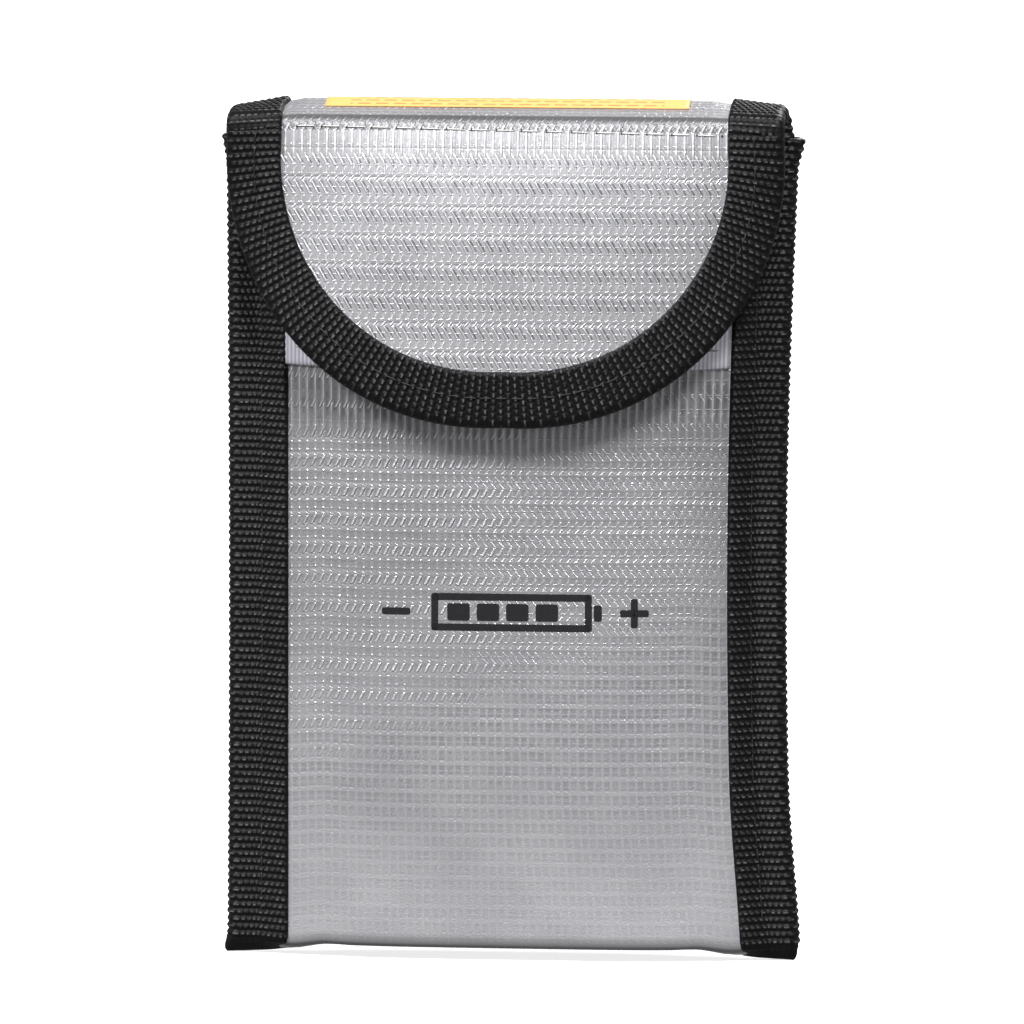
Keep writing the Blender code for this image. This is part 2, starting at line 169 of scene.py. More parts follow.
# knots: their row, half height, half width, place in the column, strength
FLAP_KNOTS = ((0.95, 0.050, 0.17, 0.0, 1.0), (0.23, 0.055, 0.15, 0.0, 0.9),
              (0.72, 0.028, 0.32, 0.0, 0.5), (0.25, 0.028, 0.36, -0.1, 0.6))
BODY_KNOTS = ((0.90, 0.055, 0.18, 0.0, 0.70),)
LEFT_KNOTS = ((0.18, 0.060, 0.16, 0.0, 0.65), (0.18, 0.022, 0.50, 0.5, 0.10))
RIGHT_KNOTS = ((0.40, 0.050, 0.18, 0.0, 0.7), (0.675, 0.026, 0.34, 0.4, 0.9),
               (0.175, 0.026, 0.28, 0.55, 0.6))
LEVEL_KNOTS = ((0.40, 0.055, 0.17, 0.0, 0.5),)
LEVEL_BANDS = ((0.14, 0.22), (0.64, 0.16))      # row and strength, low on the body
BAND_HALF_HEIGHT = 0.06
TROUGH_ASIDE = 0.23             # every stroke has a trough this share of a column beside it, in the bump and painted as shade
SOFT_END = 0.035                # share of a row over which a stroke starts and ends
STRIPE = 0.76                   # millimetres between the stripes across the strip
FLAP_LEAN_TONE = 2.0            # marks the flap in the tone that is kept on the mesh
# how the emboss changes over the cloth; a change is where it starts, its run and its amount
FRONT_DEEP = 0.16               # depth of the emboss at the foot of the front
FRONT_DEEPER = ((8 * MM, 40 * MM, 0.36), (50 * MM, 50 * MM, 0.42))      # by height
BACK_DEEP = 0.15                # at the foot of the back
BACK_DEEPER = (8 * MM, 30 * MM, 0.7)    # by distance up the back
RIDGE_DEEP = 0.35               # on the ridge and the strip
LEVEL_SLANT = 0.2               # low on the front the strokes are nearly gone
STROKES_FROM = 42 * MM          # height where they begin
STROKES_TILT = 13 * MM          # and how much higher that is at the right
STROKES_RUN = 22 * MM
FLAP_SLANT = (4.2 * MM, 1.5 * MM)       # where the flap's strokes begin below the fold
FLAP_LESS_UPRIGHT = (5 * MM, 6 * MM, 0.6)       # and where its upright lines get weaker
SHADE_FROM = 94 * MM            # height where the flap's shade begins on the front
SHADE_DIP = 6 * MM              # it begins this much lower in the middle
SHADE_DIP_WIDTH = 20 * MM
SHADE_RUN = 9 * MM
SHADE_LINES = 0.95              # strength of the upright lines in that shade, in the bump and as painted highlights
# painted light and shade in the cloth's colour; where it is lighter or darker up to a place, that
# comes first, then the run before it and the amount
FRONT_TONE = 0.945
FRONT_SIDEWAYS = 0.07           # painted brighter towards the right
FRONT_DARKER = (92 * MM, 9 * MM, 0.16)  # painted shadow under the flap
FRONT_LIGHTER = (70 * MM, 60 * MM, 0.36)        # painted light up to this height
TURN_DARKER = (-0.6 * MM, 0.5 * MM, 0.20)       # painted shade at the turn to the bottom
TURN_LINE = (2.9 * MM, 0.8 * MM, 0.85)  # a painted dark line of shade past it: its place, half width and amount
FLAP_TONE = 0.97
FLAP_SIDEWAYS = 0.08            # painted darker towards the right
FLAP_LIT = (12 * MM, 0.23)      # painted light below the fold: how far down, and the amount
FLAP_TIP = (28 * MM, 14 * MM, 0.16)     # and painted brighter again at its tip
FOLD_DARKENS = (0.3 * MM, 0.6 * MM)     # where the fold's painted dark reflection begins, and its run
FOLD_TOP_DARK = (2.4 * MM, 0.6 * MM, 0.10)      # its upper part, up to here past its start
FOLD_DARK = (0.3 * MM, 0.4 * MM, 0.54)  # all of it, up to here past the start of the flap
LEAN_WIDTH = 25 * MM            # the strokes' lean changes over this far from the middle
LINING_TONE = 0.74              # the lining carries the outside's painted light and shade, darkened to this share, and a shallower emboss
LINING_RELIEF = 0.55

# ---------------------------------------------------------------- webbing tape
RIB = 1.35 * MM
DASH = 1.2 * MM
RIB_HEIGHT = 0.34 * MM
POINTS_A_RIB = 6
# how wide the side tape is on the front, at the left and at the right
LEGS = {-1: TURN_X - TAPE_INNER_X + 0.8 * MM, 1: TURN_X - TAPE_INNER_X}
SIDE_TURN = np.pi * SEAM_HALF
SLOPE_ALLOWANCE = 1.12          # the tape lies on the bulging wall, so it is longer than in x
TAPE_TOP = MOUTH_Z + 2.5 * MM
EAR_HEIGHT = 7.0 * MM
EARS = {-1: 0.8 * MM, 1: 1.1 * MM}      # how far the tape's top corners stick out, left and right
TOE_HEIGHT = 4.6 * MM                   # below this its bottom corners spread
TOES = {-1: 0.9 * MM, 1: -0.5 * MM}     # this far
TOE_CORNER = 1.3 * MM
TOE_RISE = 1.0 * MM                     # the tape's end is lowest at the outside
TOE_PINCH = 0.75                        # and is pressed flat
EDGE_LEG = 8.9 * MM
EDGE_TURN = np.pi * MID_STACK
EDGE_WIDTH = 2 * EDGE_LEG + EDGE_TURN
NECK_WIDER = {-1: 0.09, 1: 0.0}         # the left neck tape spreads towards the ridge

# ---------------------------------------------------------------- facing, label and print
FACING_HALF_WIDTH = TAPE_INNER_X - 0.2 * MM
FACING_THICK = 0.5 * MM
FACING_INSIDE = 6.0 * MM
FACING_RIB = 0.75 * MM
LABEL_LIFT = 0.12 * MM
LABEL_THICK = 0.12 * MM
LABEL_LINE = 2.1                # millimetres from one row of bars to the next on the label
LABEL_BAR = 3.3                 # and from one bar to the next
LABEL_MARGIN = 29.0             # half the width that the bars cover
PRINT_CENTRE = (1.6 * MM, 65.0 * MM)
PRINT_HEIGHT = 6.9 * MM
PRINT_LINE = 1.3 * MM
PRINT_LIFT = 0.05 * MM
CELL_WIDTH = 30.0 * MM
BAR_SIZE = (4.2 * MM, 3.2 * MM)
BAR_PITCH = 5.5 * MM
SIGN_SIZE = 5.4 * MM
PRINT_CORNER = 0.35 * MM

# ---------------------------------------------------------------- stitches
STITCH = 2.9 * MM
STITCH_GAP = 0.45 * MM
THREAD = 0.13 * MM
STITCH_RINGS = 7
STITCH_SIDES = 8

# ---------------------------------------------------------------- stage
FLOOR_HALF = 30.0
FLOOR_GLOW = 0.7                # lightens the bag's shadow to that of a white studio table
# height of a direction, -1 straight down to 1 straight up, and how bright the sky is there
SKY = ((-1.0, 0.40), (-0.4, 0.20), (-0.02, 0.20), (0.0, 0.8),
       (0.06, 0.8), (0.12, 0.24), (0.6, 0.36), (1.0, 0.20))
CAMERA_ELEVATION = math.radians(7.0)
CAMERA_AZIMUTH = math.radians(4.5)
CAMERA_ROLL = math.radians(0.15)
CAMERA_DISTANCE = 1.7
CAMERA_AIM = Vector((0.1 * MM, 0.0, 82.25 * MM))
VIEW_WIDTH = 187.5 * MM


# ================================================================ cloth surface
def smooth(share):
    share = np.clip(share, 0.0, 1.0)
    return share * share * (3.0 - 2.0 * share)


def rise(value, start, run):
    """0 up to start, and from there smoothly to 1 over the run."""
    return smooth((value - start) / run)


def fall(value, end, run):
    """1 at first, and smoothly down to 0 at the end, over the run."""
    return smooth((end - value) / run)


def more(value, start, run, amount):
    """0 up to start, and from there smoothly to the amount."""
    return amount * rise(value, start, run)


def less(value, end, run, amount):
    """The amount at first, and smoothly down to 0 at the end."""
    return amount * fall(value, end, run)


def fullness(x):
    raw = 1.0 - (np.abs(x) / SEAM_X) ** 4
    return 0.5 * (raw + np.sqrt(raw * raw + SEAM_EASE**2))


def bulge(z, side):
    share = BOTTOM_FULLNESS + (1.0 - BOTTOM_FULLNESS) * rise(z, *FILLS_OUT)
    if side == FRONT:
        share = share - more(z, *FRONT_TAPER, 1.0 - MOUTH_FULLNESS)
    else:
        share = share * (1.0 - rise(z, BACK_TAPER_Z, MOUTH_Z - BACK_TAPER_Z))
    return STUFFING * share


def across_at(x, z):
    """Where pattern point x stands at height z: the bag is waisted, and leans to one side."""
    bow = np.sin(np.pi * np.clip(z / MOUTH_Z, 0.0, 1.0))
    foot = less(z, FOOT_HEIGHT, FOOT_HEIGHT, FOOT_SPREAD) * (x > 0)
    return x * (1.0 - WAIST * bow) - BODY_LEAN * bow + foot


def bottom_depth(x):
    return SEAM_HALF - MID_STACK + STUFFING * BOTTOM_FULLNESS * fullness(x)


def bottom_centre(x):
    """Height where the walls end and the rounded bottom begins, its radius and its lift."""
    near_seam = rise(np.abs(x), BOTTOM_HALF_X, TAPE_INNER_X - BOTTOM_HALF_X)
    lift = SEAM_LIFT * near_seam + BOTTOM_RAISED * (1.0 - near_seam) + MID_STACK
    radius = np.minimum(BOTTOM_RADIUS - MID_STACK, bottom_depth(x))
    centre = radius + lift - BOTTOM_PRESSED * fullness(x) ** 0.5
    return np.maximum(centre, lift + 0.5 * radius), radius, lift


def points(x, y, z):
    return np.stack(np.broadcast_arrays(x, y, z), axis=-1)


def front_wall(x, share):
    low = bottom_centre(x)[0]
    z = MOUTH_Z + (low - MOUTH_Z) * share
    return points(across_at(x, z), -(SEAM_HALF - MID_STACK + bulge(z, FRONT) * fullness(x)), z)


def bottom_turn(x, share):
    centre, radius, lift = bottom_centre(x)
    angle = np.pi * share
    z = np.maximum(centre - radius * np.sin(angle), lift)
    return points(across_at(x, z), -bottom_depth(x) * np.cos(angle), z)


def back_wall(x, share):
    low, top = bottom_centre(x)[0], RIDGE[2] - RIDGE_ROUND
    z = low + (top - low) * share
    return points(across_at(x, z), SEAM_HALF - MID_STACK + bulge(z, BACK) * fullness(x), z)


def strip_line(distance):
    lift = STRIP_CROWN * np.sin(np.pi * distance / STRIP_LENGTH)
    return (RIDGE + np.multiply.outer(distance, STRIP_ALONG) + np.multiply.outer(lift, STRIP_UP))


def flap_middle(x, z):
    """How far forward the flap stands: it springs out at the fold and hugs the bag's sides."""
    drop = (FRONT_FOLD[2] - z) / (FRONT_FOLD[2] - FLAP_BOTTOM)
    bow = FLAP_LEAN * drop + FLAP_BOW * np.sin(np.pi * np.clip(drop, 0.0, 1.0))
    bow = bow + FLAP_SPRING * (1.0 - np.exp(-np.maximum(drop, 0.0) / FLAP_SPRING_DROP))
    hug = np.sin(np.pi / 2 * np.clip(drop / FLAP_HUG_DROP, 0.0, 1.0))
    return FRONT_FOLD[1] - bow + FLAP_SIDE_SET_BACK * hug * (np.abs(x) / FLAP_RADIUS) ** 4


def bend(before, corner, after, share):
    """A rounded corner between two points, through a control point."""
    t = share[..., None]
    return (1 - t) ** 2 * before + 2 * t * (1 - t) * corner + t**2 * after


def across(x, line):
    """Puts x on points of a line in the Y-Z plane, and lets the line's ends droop."""
    made = np.array(line)
    made[..., 0] = x
    outwards = np.clip((np.abs(x) - DROOP_FROM) / (BAG_HALF_WIDTH - DROOP_FROM), 0.0, 1.0) ** 0.9
    towards_ridge = rise(made[..., 1], FRONT_FOLD[1], RIDGE[1] - FRONT_FOLD[1])
    made[..., 2] -= np.where(x < 0, *CORNER_DROOP) * outwards * (0.25 + 0.75 * towards_ridge)
    return made


def ridge_bend(x, share):
    before = RIDGE - np.array([0.0, 0.0, RIDGE_ROUND])
    return across(x, bend(before, RIDGE, strip_line(np.array(RIDGE_ROUND)), share))


def top_strip(x, share):
    return across(x, strip_line(RIDGE_ROUND + STRIP_RUN * share))


def fold_bend(x, share):
    before = strip_line(np.array(STRIP_LENGTH - FOLD_ROUND))
    return across(x, bend(before, FRONT_FOLD, flap_face(x, 0.0), share))


def flap_face(x, share):
    z = FRONT_FOLD[2] - FOLD_ROUND - share * FLAP_RUN
    return points(x, flap_middle(x, z), z)


STRETCHES = [
    ("front", MOUTH_Z - WALL_END, front_wall),
    ("bottom", BOTTOM_RUN, bottom_turn),
    ("back", RIDGE[2] - RIDGE_ROUND - WALL_END, back_wall),
    ("ridge", RIDGE_RUN, ridge_bend),
    ("strip", STRIP_RUN, top_strip),
    ("fold", FOLD_RUN, fold_bend),
    ("flap", FLAP_RUN, flap_face),
]
STARTS = {}
PATTERN_LENGTH = 0.0
for stretch_name, stretch_length, _ in STRETCHES:
    STARTS[stretch_name] = PATTERN_LENGTH
    PATTERN_LENGTH += stretch_length

D_SPLIT_BACK = STARTS["back"] + MOUTH_Z - WALL_END      # level with the mouth
D_SPLIT_STRIP = STARTS["strip"] + 4.2 * MM              # in the middle of the top strip
D_FLAP_CENTRE = STARTS["flap"] + FRONT_FOLD[2] - FOLD_ROUND - FLAP_CENTRE_Z
# the strokes of the fold stand between these, in millimetres along the cloth
FOLD_BAND = (STARTS["fold"] / MM + 1.9, STARTS["flap"] / MM + 0.1)


def middle(x, d):
    """The cloth's mid-surface at pattern coordinates x, d."""
    x, d = np.broadcast_arrays(np.asarray(x, float), np.asarray(d, float))
    made = np.empty(x.shape + (3,))
    last = len(STRETCHES) - 1
    for index, (name, length, surface) in enumerate(STRETCHES):
        low = d >= STARTS[name] if index else np.full(d.shape, True)
        high = d < STARTS[name] + length if index < last else np.full(d.shape, True)
        inside = low & high
        if inside.any():
            made[inside] = surface(x[inside], (d[inside] - STARTS[name]) / length)
    over_ridge = rise(d, D_SPLIT_BACK, STARTS["strip"] - D_SPLIT_BACK)
    made[..., 0] = made[..., 0] * (1.0 - FLAP_NARROWER * over_ridge) + FLAP_SHIFT * over_ridge
    return made


def unit(vectors):
    return vectors / np.maximum(np.linalg.norm(vectors, axis=-1, keepdims=True), 1e-12)


def outward(x, d):
    """Normal of the cloth, away from the bag's inside."""
    along = middle(x, d + NORMAL_STEP) - middle(x, d - NORMAL_STEP)
    side = middle(x + NORMAL_STEP, d) - middle(x - NORMAL_STEP, d)
    return unit(np.cross(along, side))


def cloth(x, d, above=0.0):
    """A point above (or, negative, below) the outer face of the cloth."""
    return middle(x, d) + outward(x, d) * (MID_STACK + np.broadcast_to(above, x.shape))[..., None]


# ================================================================ mesh helpers
def even(start, end, spacing):
    count = max(2, int(round(abs(end - start) / spacing)) + 1)
    return np.linspace(start, end, count)


def mesh_grid(first, second):
    return np.meshgrid(first, second, indexing="ij")


def add_object(name, data):
    made = bpy.data.objects.new(name, data)
    bpy.context.scene.collection.objects.link(made)
    return made


def flat_grid(name, columns, rows, half_size):
    """A mesh of columns by rows squares in the X-Y plane."""
    grid = bmesh.new()
    bmesh.ops.create_grid(grid, x_segments=columns, y_segments=rows, size=half_size)
    mesh = bpy.data.meshes.new(name)
    grid.to_mesh(mesh)
    grid.free()
    return mesh


def keep_on_mesh(mesh, name, values):
    """Stores up to three numbers a vertex for the materials."""
    kept = np.zeros((len(values), 3), np.float32)
    kept[:, : values.shape[1]] = values
    mesh.attributes.new(name, "FLOAT_VECTOR", "POINT").data.foreach_set("vector", kept.ravel())


def grid_piece(name, places, finish, thickness=0.0, pattern=None, relief=None, tone=None,
               flip=False):
    """A grid of points, (columns, rows, 3), as a smooth mesh object.

    thickness > 0 makes it a closed sheet, solid on the side away from its face.
    pattern, two grids in metres, and relief and tone, plain numbers, are kept for
    the materials.
    """
    columns, rows = places.shape[:2]
    mesh = flat_grid(name, columns - 1, rows - 1, 0.5)
    made = add_object(name, mesh)
    flat = np.empty(len(mesh.vertices) * 3)
    mesh.vertices.foreach_get("co", flat)
    flat = flat.reshape(-1, 3)
    column = np.rint((flat[:, 0] + 0.5) * (columns - 1)).astype(int)
    row = np.rint((flat[:, 1] + 0.5) * (rows - 1)).astype(int)
    mesh.vertices.foreach_set("co", places[column, row].ravel())
    if pattern is not None:
        keep_on_mesh(mesh, "pattern", np.stack(pattern, axis=-1)[column, row] / MM)
    if relief is not None:
        keep_on_mesh(mesh, "relief", relief[column, row])
    if tone is not None:
        keep_on_mesh(mesh, "tone", tone[column, row])
    if flip:
        mesh.flip_normals()
    if thickness:
        solid = made.modifiers.new("thickness", "SOLIDIFY")
        solid.thickness = thickness
        solid.offset = -1.0
        solid.use_even_offset = False
    mesh.shade_smooth()
    mesh.materials.append(finish)
    return made


def apply_modifiers(made):
    """Bakes the modifiers into the mesh."""
    evaluated = made.evaluated_get(bpy.context.evaluated_depsgraph_get())
    mesh = bpy.data.meshes.new_from_object(evaluated)
    old = made.data
    made.modifiers.clear()
    made.data = mesh
    bpy.data.meshes.remove(old)
    mesh.name = made.name
    return made


def ridge_blend(made):
    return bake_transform(apply_modifiers(made))


def fold_blend(made):
    z = FRONT_FOLD[2] - FOLD_ROUND - 0.4 * MM
    end = (0.0, float(flap_middle(0.0, z)), z)
    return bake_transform(apply_modifiers(made))


# ================================================================ materials
class Nodes:
    """Short calls for building a node tree. Values are numbers or other nodes' outputs."""

    def __init__(self, tree):
        self.tree = tree

    def add(self, kind, **settings):
        node = self.tree.nodes.new(kind)
        for key, value in settings.items():
            setattr(node, key, value)
        return node

    def feed(self, socket, value):
        if isinstance(value, bpy.types.NodeSocket):
            self.tree.links.new(value, socket)
        else:
            socket.default_value = value

    def math(self, operation, a, b=0.0, c=0.0):
        node = self.add("ShaderNodeMath", operation=operation)
        for socket, value in zip(node.inputs, (a, b, c)):
            self.feed(socket, value)
        return node.outputs[0]

    def chain(self, operation, values):
        made = values[0]
        for value in values[1:]:
            made = self.math(operation, made, value)
        return made

    def product(self, *values):
        return self.chain("MULTIPLY", values)

    def strongest(self, *values):
        return self.chain("MAXIMUM", values)

    def opposite(self, share):
        return self.math("SUBTRACT", 1.0, share)

    def apart(self, a, b):
        """How far two values are from each other."""
        return self.math("ABSOLUTE", self.math("SUBTRACT", a, b))

    def noise(self, vector, scale, detail=2.0, roughness=0.5):
        node = self.add("ShaderNodeTexNoise")
        for key, value in (("Vector", vector), ("Scale", scale), ("Detail", detail),
                           ("Roughness", roughness)):
            self.feed(node.inputs[key], value)
        return node.outputs["Fac"]

    def ramp(self, value, low, high, out_low=0.0, out_high=1.0, kind="SMOOTHSTEP"):
        node = self.add("ShaderNodeMapRange", interpolation_type=kind)
        for key, number in (("Value", value), ("From Min", low), ("From Max", high),
                            ("To Min", out_low), ("To Max", out_high)):
            self.feed(node.inputs[key], number)
        return node.outputs["Result"]

    def fade(self, value, low, high, strength=1.0):
        """The strength up to low, and from there smoothly down to 0 at high."""
        return self.ramp(value, low, high, strength, 0.0)

    def mix_colour(self, share, a, b):
        node = self.add("ShaderNodeMix", data_type="RGBA")
        self.feed(node.inputs["Factor"], share)
        for socket, value in ((node.inputs[6], a), (node.inputs[7], b)):
            self.feed(socket, (*value, 1.0) if isinstance(value, tuple) else value)
        return node.outputs[2]

    def split(self, vector):
        node = self.add("ShaderNodeSeparateXYZ")
        self.feed(node.inputs[0], vector)
        return list(node.outputs)

    def kept(self, name):
        """The three numbers kept on the mesh under a name, and their vector."""
        vector = self.add("ShaderNodeAttribute", attribute_name=name).outputs["Vector"]
        return *self.split(vector), vector


class Material(Nodes):
    """The node tree round one material's shader."""

    def __init__(self, name, colour, roughness, metallic=0.0):
        self.made = bpy.data.materials.new(name)
        self.made.use_nodes = True
        super().__init__(self.made.node_tree)
        self.shader = self.tree.nodes["Principled BSDF"]
        self.set("Base Color", (*colour, 1.0))
        self.set("Roughness", roughness)
        self.set("Metallic", metallic)

    def set(self, name, value):
        self.feed(self.shader.inputs[name], value)

    def bump(self, height, distance, strength=1.0):
        node = self.add("ShaderNodeBump")
        for key, value in (("Strength", strength), ("Distance", distance), ("Height", height)):
            self.feed(node.inputs[key], value)
        self.set("Normal", node.outputs["Normal"])


class Emboss:
    """The cell pattern of the silver cloth as node sockets; u and v are counted in cells."""

    def __init__(self, nodes, x, d, row, shift=0.0, aside=0.0):
        self.nodes = nodes
        self.u = nodes.math("MULTIPLY_ADD", x, 1.0 / COLUMN, aside)
        self.v = nodes.math("FRACT", nodes.math("MULTIPLY_ADD", d, 1.0 / row, shift))

    def off_column(self, centre):
        """Distance from a column's centre line, 0 to 0.5."""
        n = self.nodes
        turned = n.math("FRACT", n.math("ADD", n.math("SUBTRACT", self.u, centre), 0.5))
        return n.apart(turned, 0.5)

    def stroke(self, start, end, from_u, to_u, half_width, strength, aside=0.0):
        """A slanting line in every cell; aside moves it sideways."""
        n = self.nodes
        centre = n.ramp(self.v, start, end, from_u + aside, to_u + aside, "LINEAR")
        line = n.fade(self.off_column(centre), 0.0, half_width, strength)
        return n.product(line, n.ramp(self.v, start, start + SOFT_END),
                         n.fade(self.v, end - SOFT_END, end))

    def knot(self, row, half_height, half_width, centre, strength):
        n = self.nodes
        return n.product(n.fade(n.apart(self.v, row), 0.0, half_height, strength),
                         n.fade(self.off_column(centre), half_width * 0.3, half_width))

    def strokes(self, sizes, **sideways):
        return self.nodes.strongest(*[self.stroke(*size, **sideways) for size in sizes])

    def knots(self, sizes):
        return self.nodes.strongest(*[self.knot(*size) for size in sizes])

    def band(self, row, half_height):
        n = self.nodes
        return n.fade(n.apart(self.v, row), 0.0, half_height)

    def column_line(self, centre, inner, outer):
        """An upright line in every column, full up to inner and gone at outer."""
        return self.nodes.fade(self.off_column(centre), inner, outer)

    def hollows(self):
        """The sunken middle of every cell, two rows of them to a row of the pattern."""
        n = self.nodes
        half_row = n.math("FRACT", n.math("MULTIPLY_ADD", self.v, 2.0, 0.2))
        return n.product(n.fade(n.apart(half_row, 0.45), 0.24, 0.42),
                         self.column_line(0.5, 0.24, 0.42))


def flap_emboss(n, x, d, slanted, upright):
    """Raised lines and sunken ones on the flap, upright below the fold, then slanting: they shape
    the bump, and the raised ones are painted as highlights and the sunken ones as painted shade.
    """
    cells = Emboss(n, x, d, FLAP_ROW, 0.0, FLAP_ASIDE)
    at_fold = Emboss(n, x, d, FLAP_ROW, 0.5, FLAP_ASIDE)
    start, end = FOLD_BAND
    folded = n.product(n.ramp(d, start - 0.2, start + 0.1), n.fade(d, end - 0.1, end + 0.2))
    standing = n.opposite(slanted)
    raised = n.strongest(
        n.product(cells.strokes(FLAP_STROKES), slanted),
        cells.knots(FLAP_KNOTS),
        n.product(cells.stroke(*UPRIGHT_STROKE), upright),
        n.product(cells.column_line(0.0, 0.05, 0.24), standing, n.opposite(folded)),
        n.product(at_fold.stroke(*FOLD_STROKE), folded),
    )
    sunken = n.strongest(
        n.product(cells.strokes(FLAP_STROKES[:2], aside=TROUGH_ASIDE), slanted),
        n.product(cells.column_line(0.5, 0.0, 0.3), standing, 0.35),
        n.product(cells.band(0.37, 0.07), 0.35),
    )
    return raised, sunken


def body_emboss(n, x, d, slanted, upright, lean):
    """The same on the body, where painted highlights pick out other strokes at the left and right,
    as the light does.
    """
    cells = Emboss(n, x, d, BODY_ROW, BODY_SHIFT)
    to_left = n.fade(lean, -0.5, 0.5)
    to_right = n.ramp(lean, -0.6, 0.2)
    calm = n.ramp(slanted, 0.2, 0.8, 0.5, 1.0, "LINEAR")
    left = n.strongest(cells.strokes(LEFT_STROKES), cells.knots(LEFT_KNOTS))
    right = n.strongest(cells.strokes(RIGHT_STROKES), cells.knots(RIGHT_KNOTS))
    level = [cells.knots(LEVEL_KNOTS)]
    for row, strength in LEVEL_BANDS:
        level.append(n.product(cells.band(row, BAND_HALF_HEIGHT), strength))
    raised = n.strongest(
        n.product(cells.knots(BODY_KNOTS), calm),
        n.product(left, to_left, slanted),
        n.product(right, to_right, slanted),
        n.product(n.strongest(*level), n.opposite(slanted)),
        n.product(cells.column_line(0.0, 0.05, 0.22), upright, 0.7),
    )
    sunken = n.strongest(
        n.product(cells.strokes(LEFT_STROKES[:1], aside=TROUGH_ASIDE), to_left, slanted, 0.6),
        n.product(cells.strokes(RIGHT_STROKES[:3], aside=TROUGH_ASIDE), to_right, slanted, 0.7),
        n.product(cells.hollows(), n.ramp(slanted, 0.2, 0.8, 0.90, 0.40, "LINEAR")),
        n.product(cells.column_line(0.5, 0.08, 0.36), upright),
    )
    return raised, sunken


def silver_cloth():
    """Aluminium-coated cloth with an embossed weave: slanting strokes between rows of knots,
    painted light where raised and painted shade where sunken.
    """
    n = Material("silver_cloth", (0.50, 0.50, 0.52), 0.42, 0.72)
    x, d, _, vector = n.kept("pattern")
    deep, slanted, upright, _ = n.kept("relief")
    shade, lean, stripes, _ = n.kept("tone")
    on_flap = n.ramp(lean, 1.4, 1.6)
    on_body = n.opposite(on_flap)
    flap = flap_emboss(n, x, d, slanted, upright)
    body = body_emboss(n, x, d, slanted, upright, lean)
    raised, sunken = [n.math("ADD", n.product(one, on_flap), n.product(other, on_body))
                      for one, other in zip(flap, body)]
    lines = n.math("SUBTRACT", n.math("PINGPONG", d, STRIPE), STRIPE / 2)
    fine = n.noise(vector, 2.6, 3.0, 0.7)
    pressed = n.product(deep, n.ramp(n.noise(vector, 0.30), 0.3, 0.7, 0.55, 1.15))
    relief = n.product(n.math("MULTIPLY_ADD", sunken, -0.6, raised), pressed)
    relief = n.math("MULTIPLY_ADD", n.product(lines, 1.3), stripes, relief)
    n.bump(n.math("MULTIPLY_ADD", fine, 0.34, relief), 0.0002)
    patches = n.ramp(n.noise(vector, 0.06), 0.3, 0.7)
    plain = n.mix_colour(patches, (0.47, 0.467, 0.49), (0.52, 0.517, 0.54))
    between_stripes = n.product(n.math("MAXIMUM", lines, 0.0), stripes, 1.3)
    # sunken strokes and hollows are painted dark as painted shade; the strip's stripes add dark
    # gaps
    dark = n.math("ADD", n.product(sunken, pressed, 0.80), between_stripes)
    shaded = n.mix_colour(dark, plain, (0.17, 0.17, 0.19))
    # raised strokes and knots are painted near white: painted highlights
    lit = n.mix_colour(n.product(raised, pressed, 0.95), shaded, (0.93, 0.93, 0.95))
    # the kept tone scales the colour by the painted light and shade of cloth_tone
    toned = n.add("ShaderNodeVectorMath", operation="SCALE")
    n.feed(toned.inputs[0], lit)
    n.feed(toned.inputs["Scale"], shade)
    n.set("Base Color", toned.outputs[0])
    n.set("Roughness", n.ramp(fine, 0.3, 0.7, 0.34, 0.48))
    return n.made


def black_webbing():
    """Polyester webbing: dull black, with a painted grey highlight on the tops of its floats."""
    n = Material("black_webbing", (0.010, 0.010, 0.012), 0.40)
    a, along, _, vector = n.kept("pattern")
    woven = n.kept("relief")[0]
    rib = n.math("DIVIDE", along, RIB / MM)
    parity = n.product(n.math("FLOORED_MODULO", n.math("FLOOR", rib), 2.0), 0.5)
    dash = n.math("FRACT", n.math("ADD", n.math("DIVIDE", a, DASH / MM), parity))
    on_rib = n.fade(n.apart(n.math("FRACT", rib), 0.5), 0.05, 0.17)
    on_dash = n.fade(n.apart(dash, 0.5), 0.20, 0.36)
    fuzz = n.noise(vector, 5.0, 3.0, 0.7)
    n.bump(fuzz, 0.00006, 0.6)
    dull = n.mix_colour(fuzz, (0.002, 0.002, 0.0025), (0.008, 0.008, 0.009))
    uneven = n.ramp(n.noise(vector, 0.9), 0.35, 0.68, 0.12, 1.0)
    # the tops of the floats are painted light grey: a painted highlight where they catch the light
    top = n.product(on_rib, on_dash, uneven, woven, n.ramp(fuzz, 0.35, 0.6, 0.4, 1.0))
    n.set("Base Color", n.mix_colour(top, dull, (0.145, 0.142, 0.14)))
    n.set("Roughness", n.ramp(fuzz, 0.3, 0.7, 0.32, 0.5))
    n.set("Specular IOR Level", 0.15)
    return n.made


def velour():
    n = Material("loop_velour", (0.02, 0.02, 0.022), 0.95)
    pile = n.noise(n.kept("pattern")[3], 3.0, 4.0, 0.8)
    n.bump(pile, 0.0004)
    n.set("Base Color", n.mix_colour(pile, (0.012, 0.012, 0.013), (0.04, 0.04, 0.043)))
    n.set("Sheen Weight", 0.3)
    return n.made


def hook_nylon():
    n = Material("hook_nylon", (0.03, 0.03, 0.032), 0.45)
    x, z, _, vector = n.kept("pattern")
    cell = n.product(*[n.math("SINE", n.product(place, 4.2)) for place in (x, z)])
    n.bump(n.ramp(cell, 0.0, 0.8), 0.0004)
    uneven = n.noise(vector, 1.0)
    n.set("Base Color", n.mix_colour(uneven, (0.02, 0.02, 0.022), (0.045, 0.045, 0.05)))
    return n.made


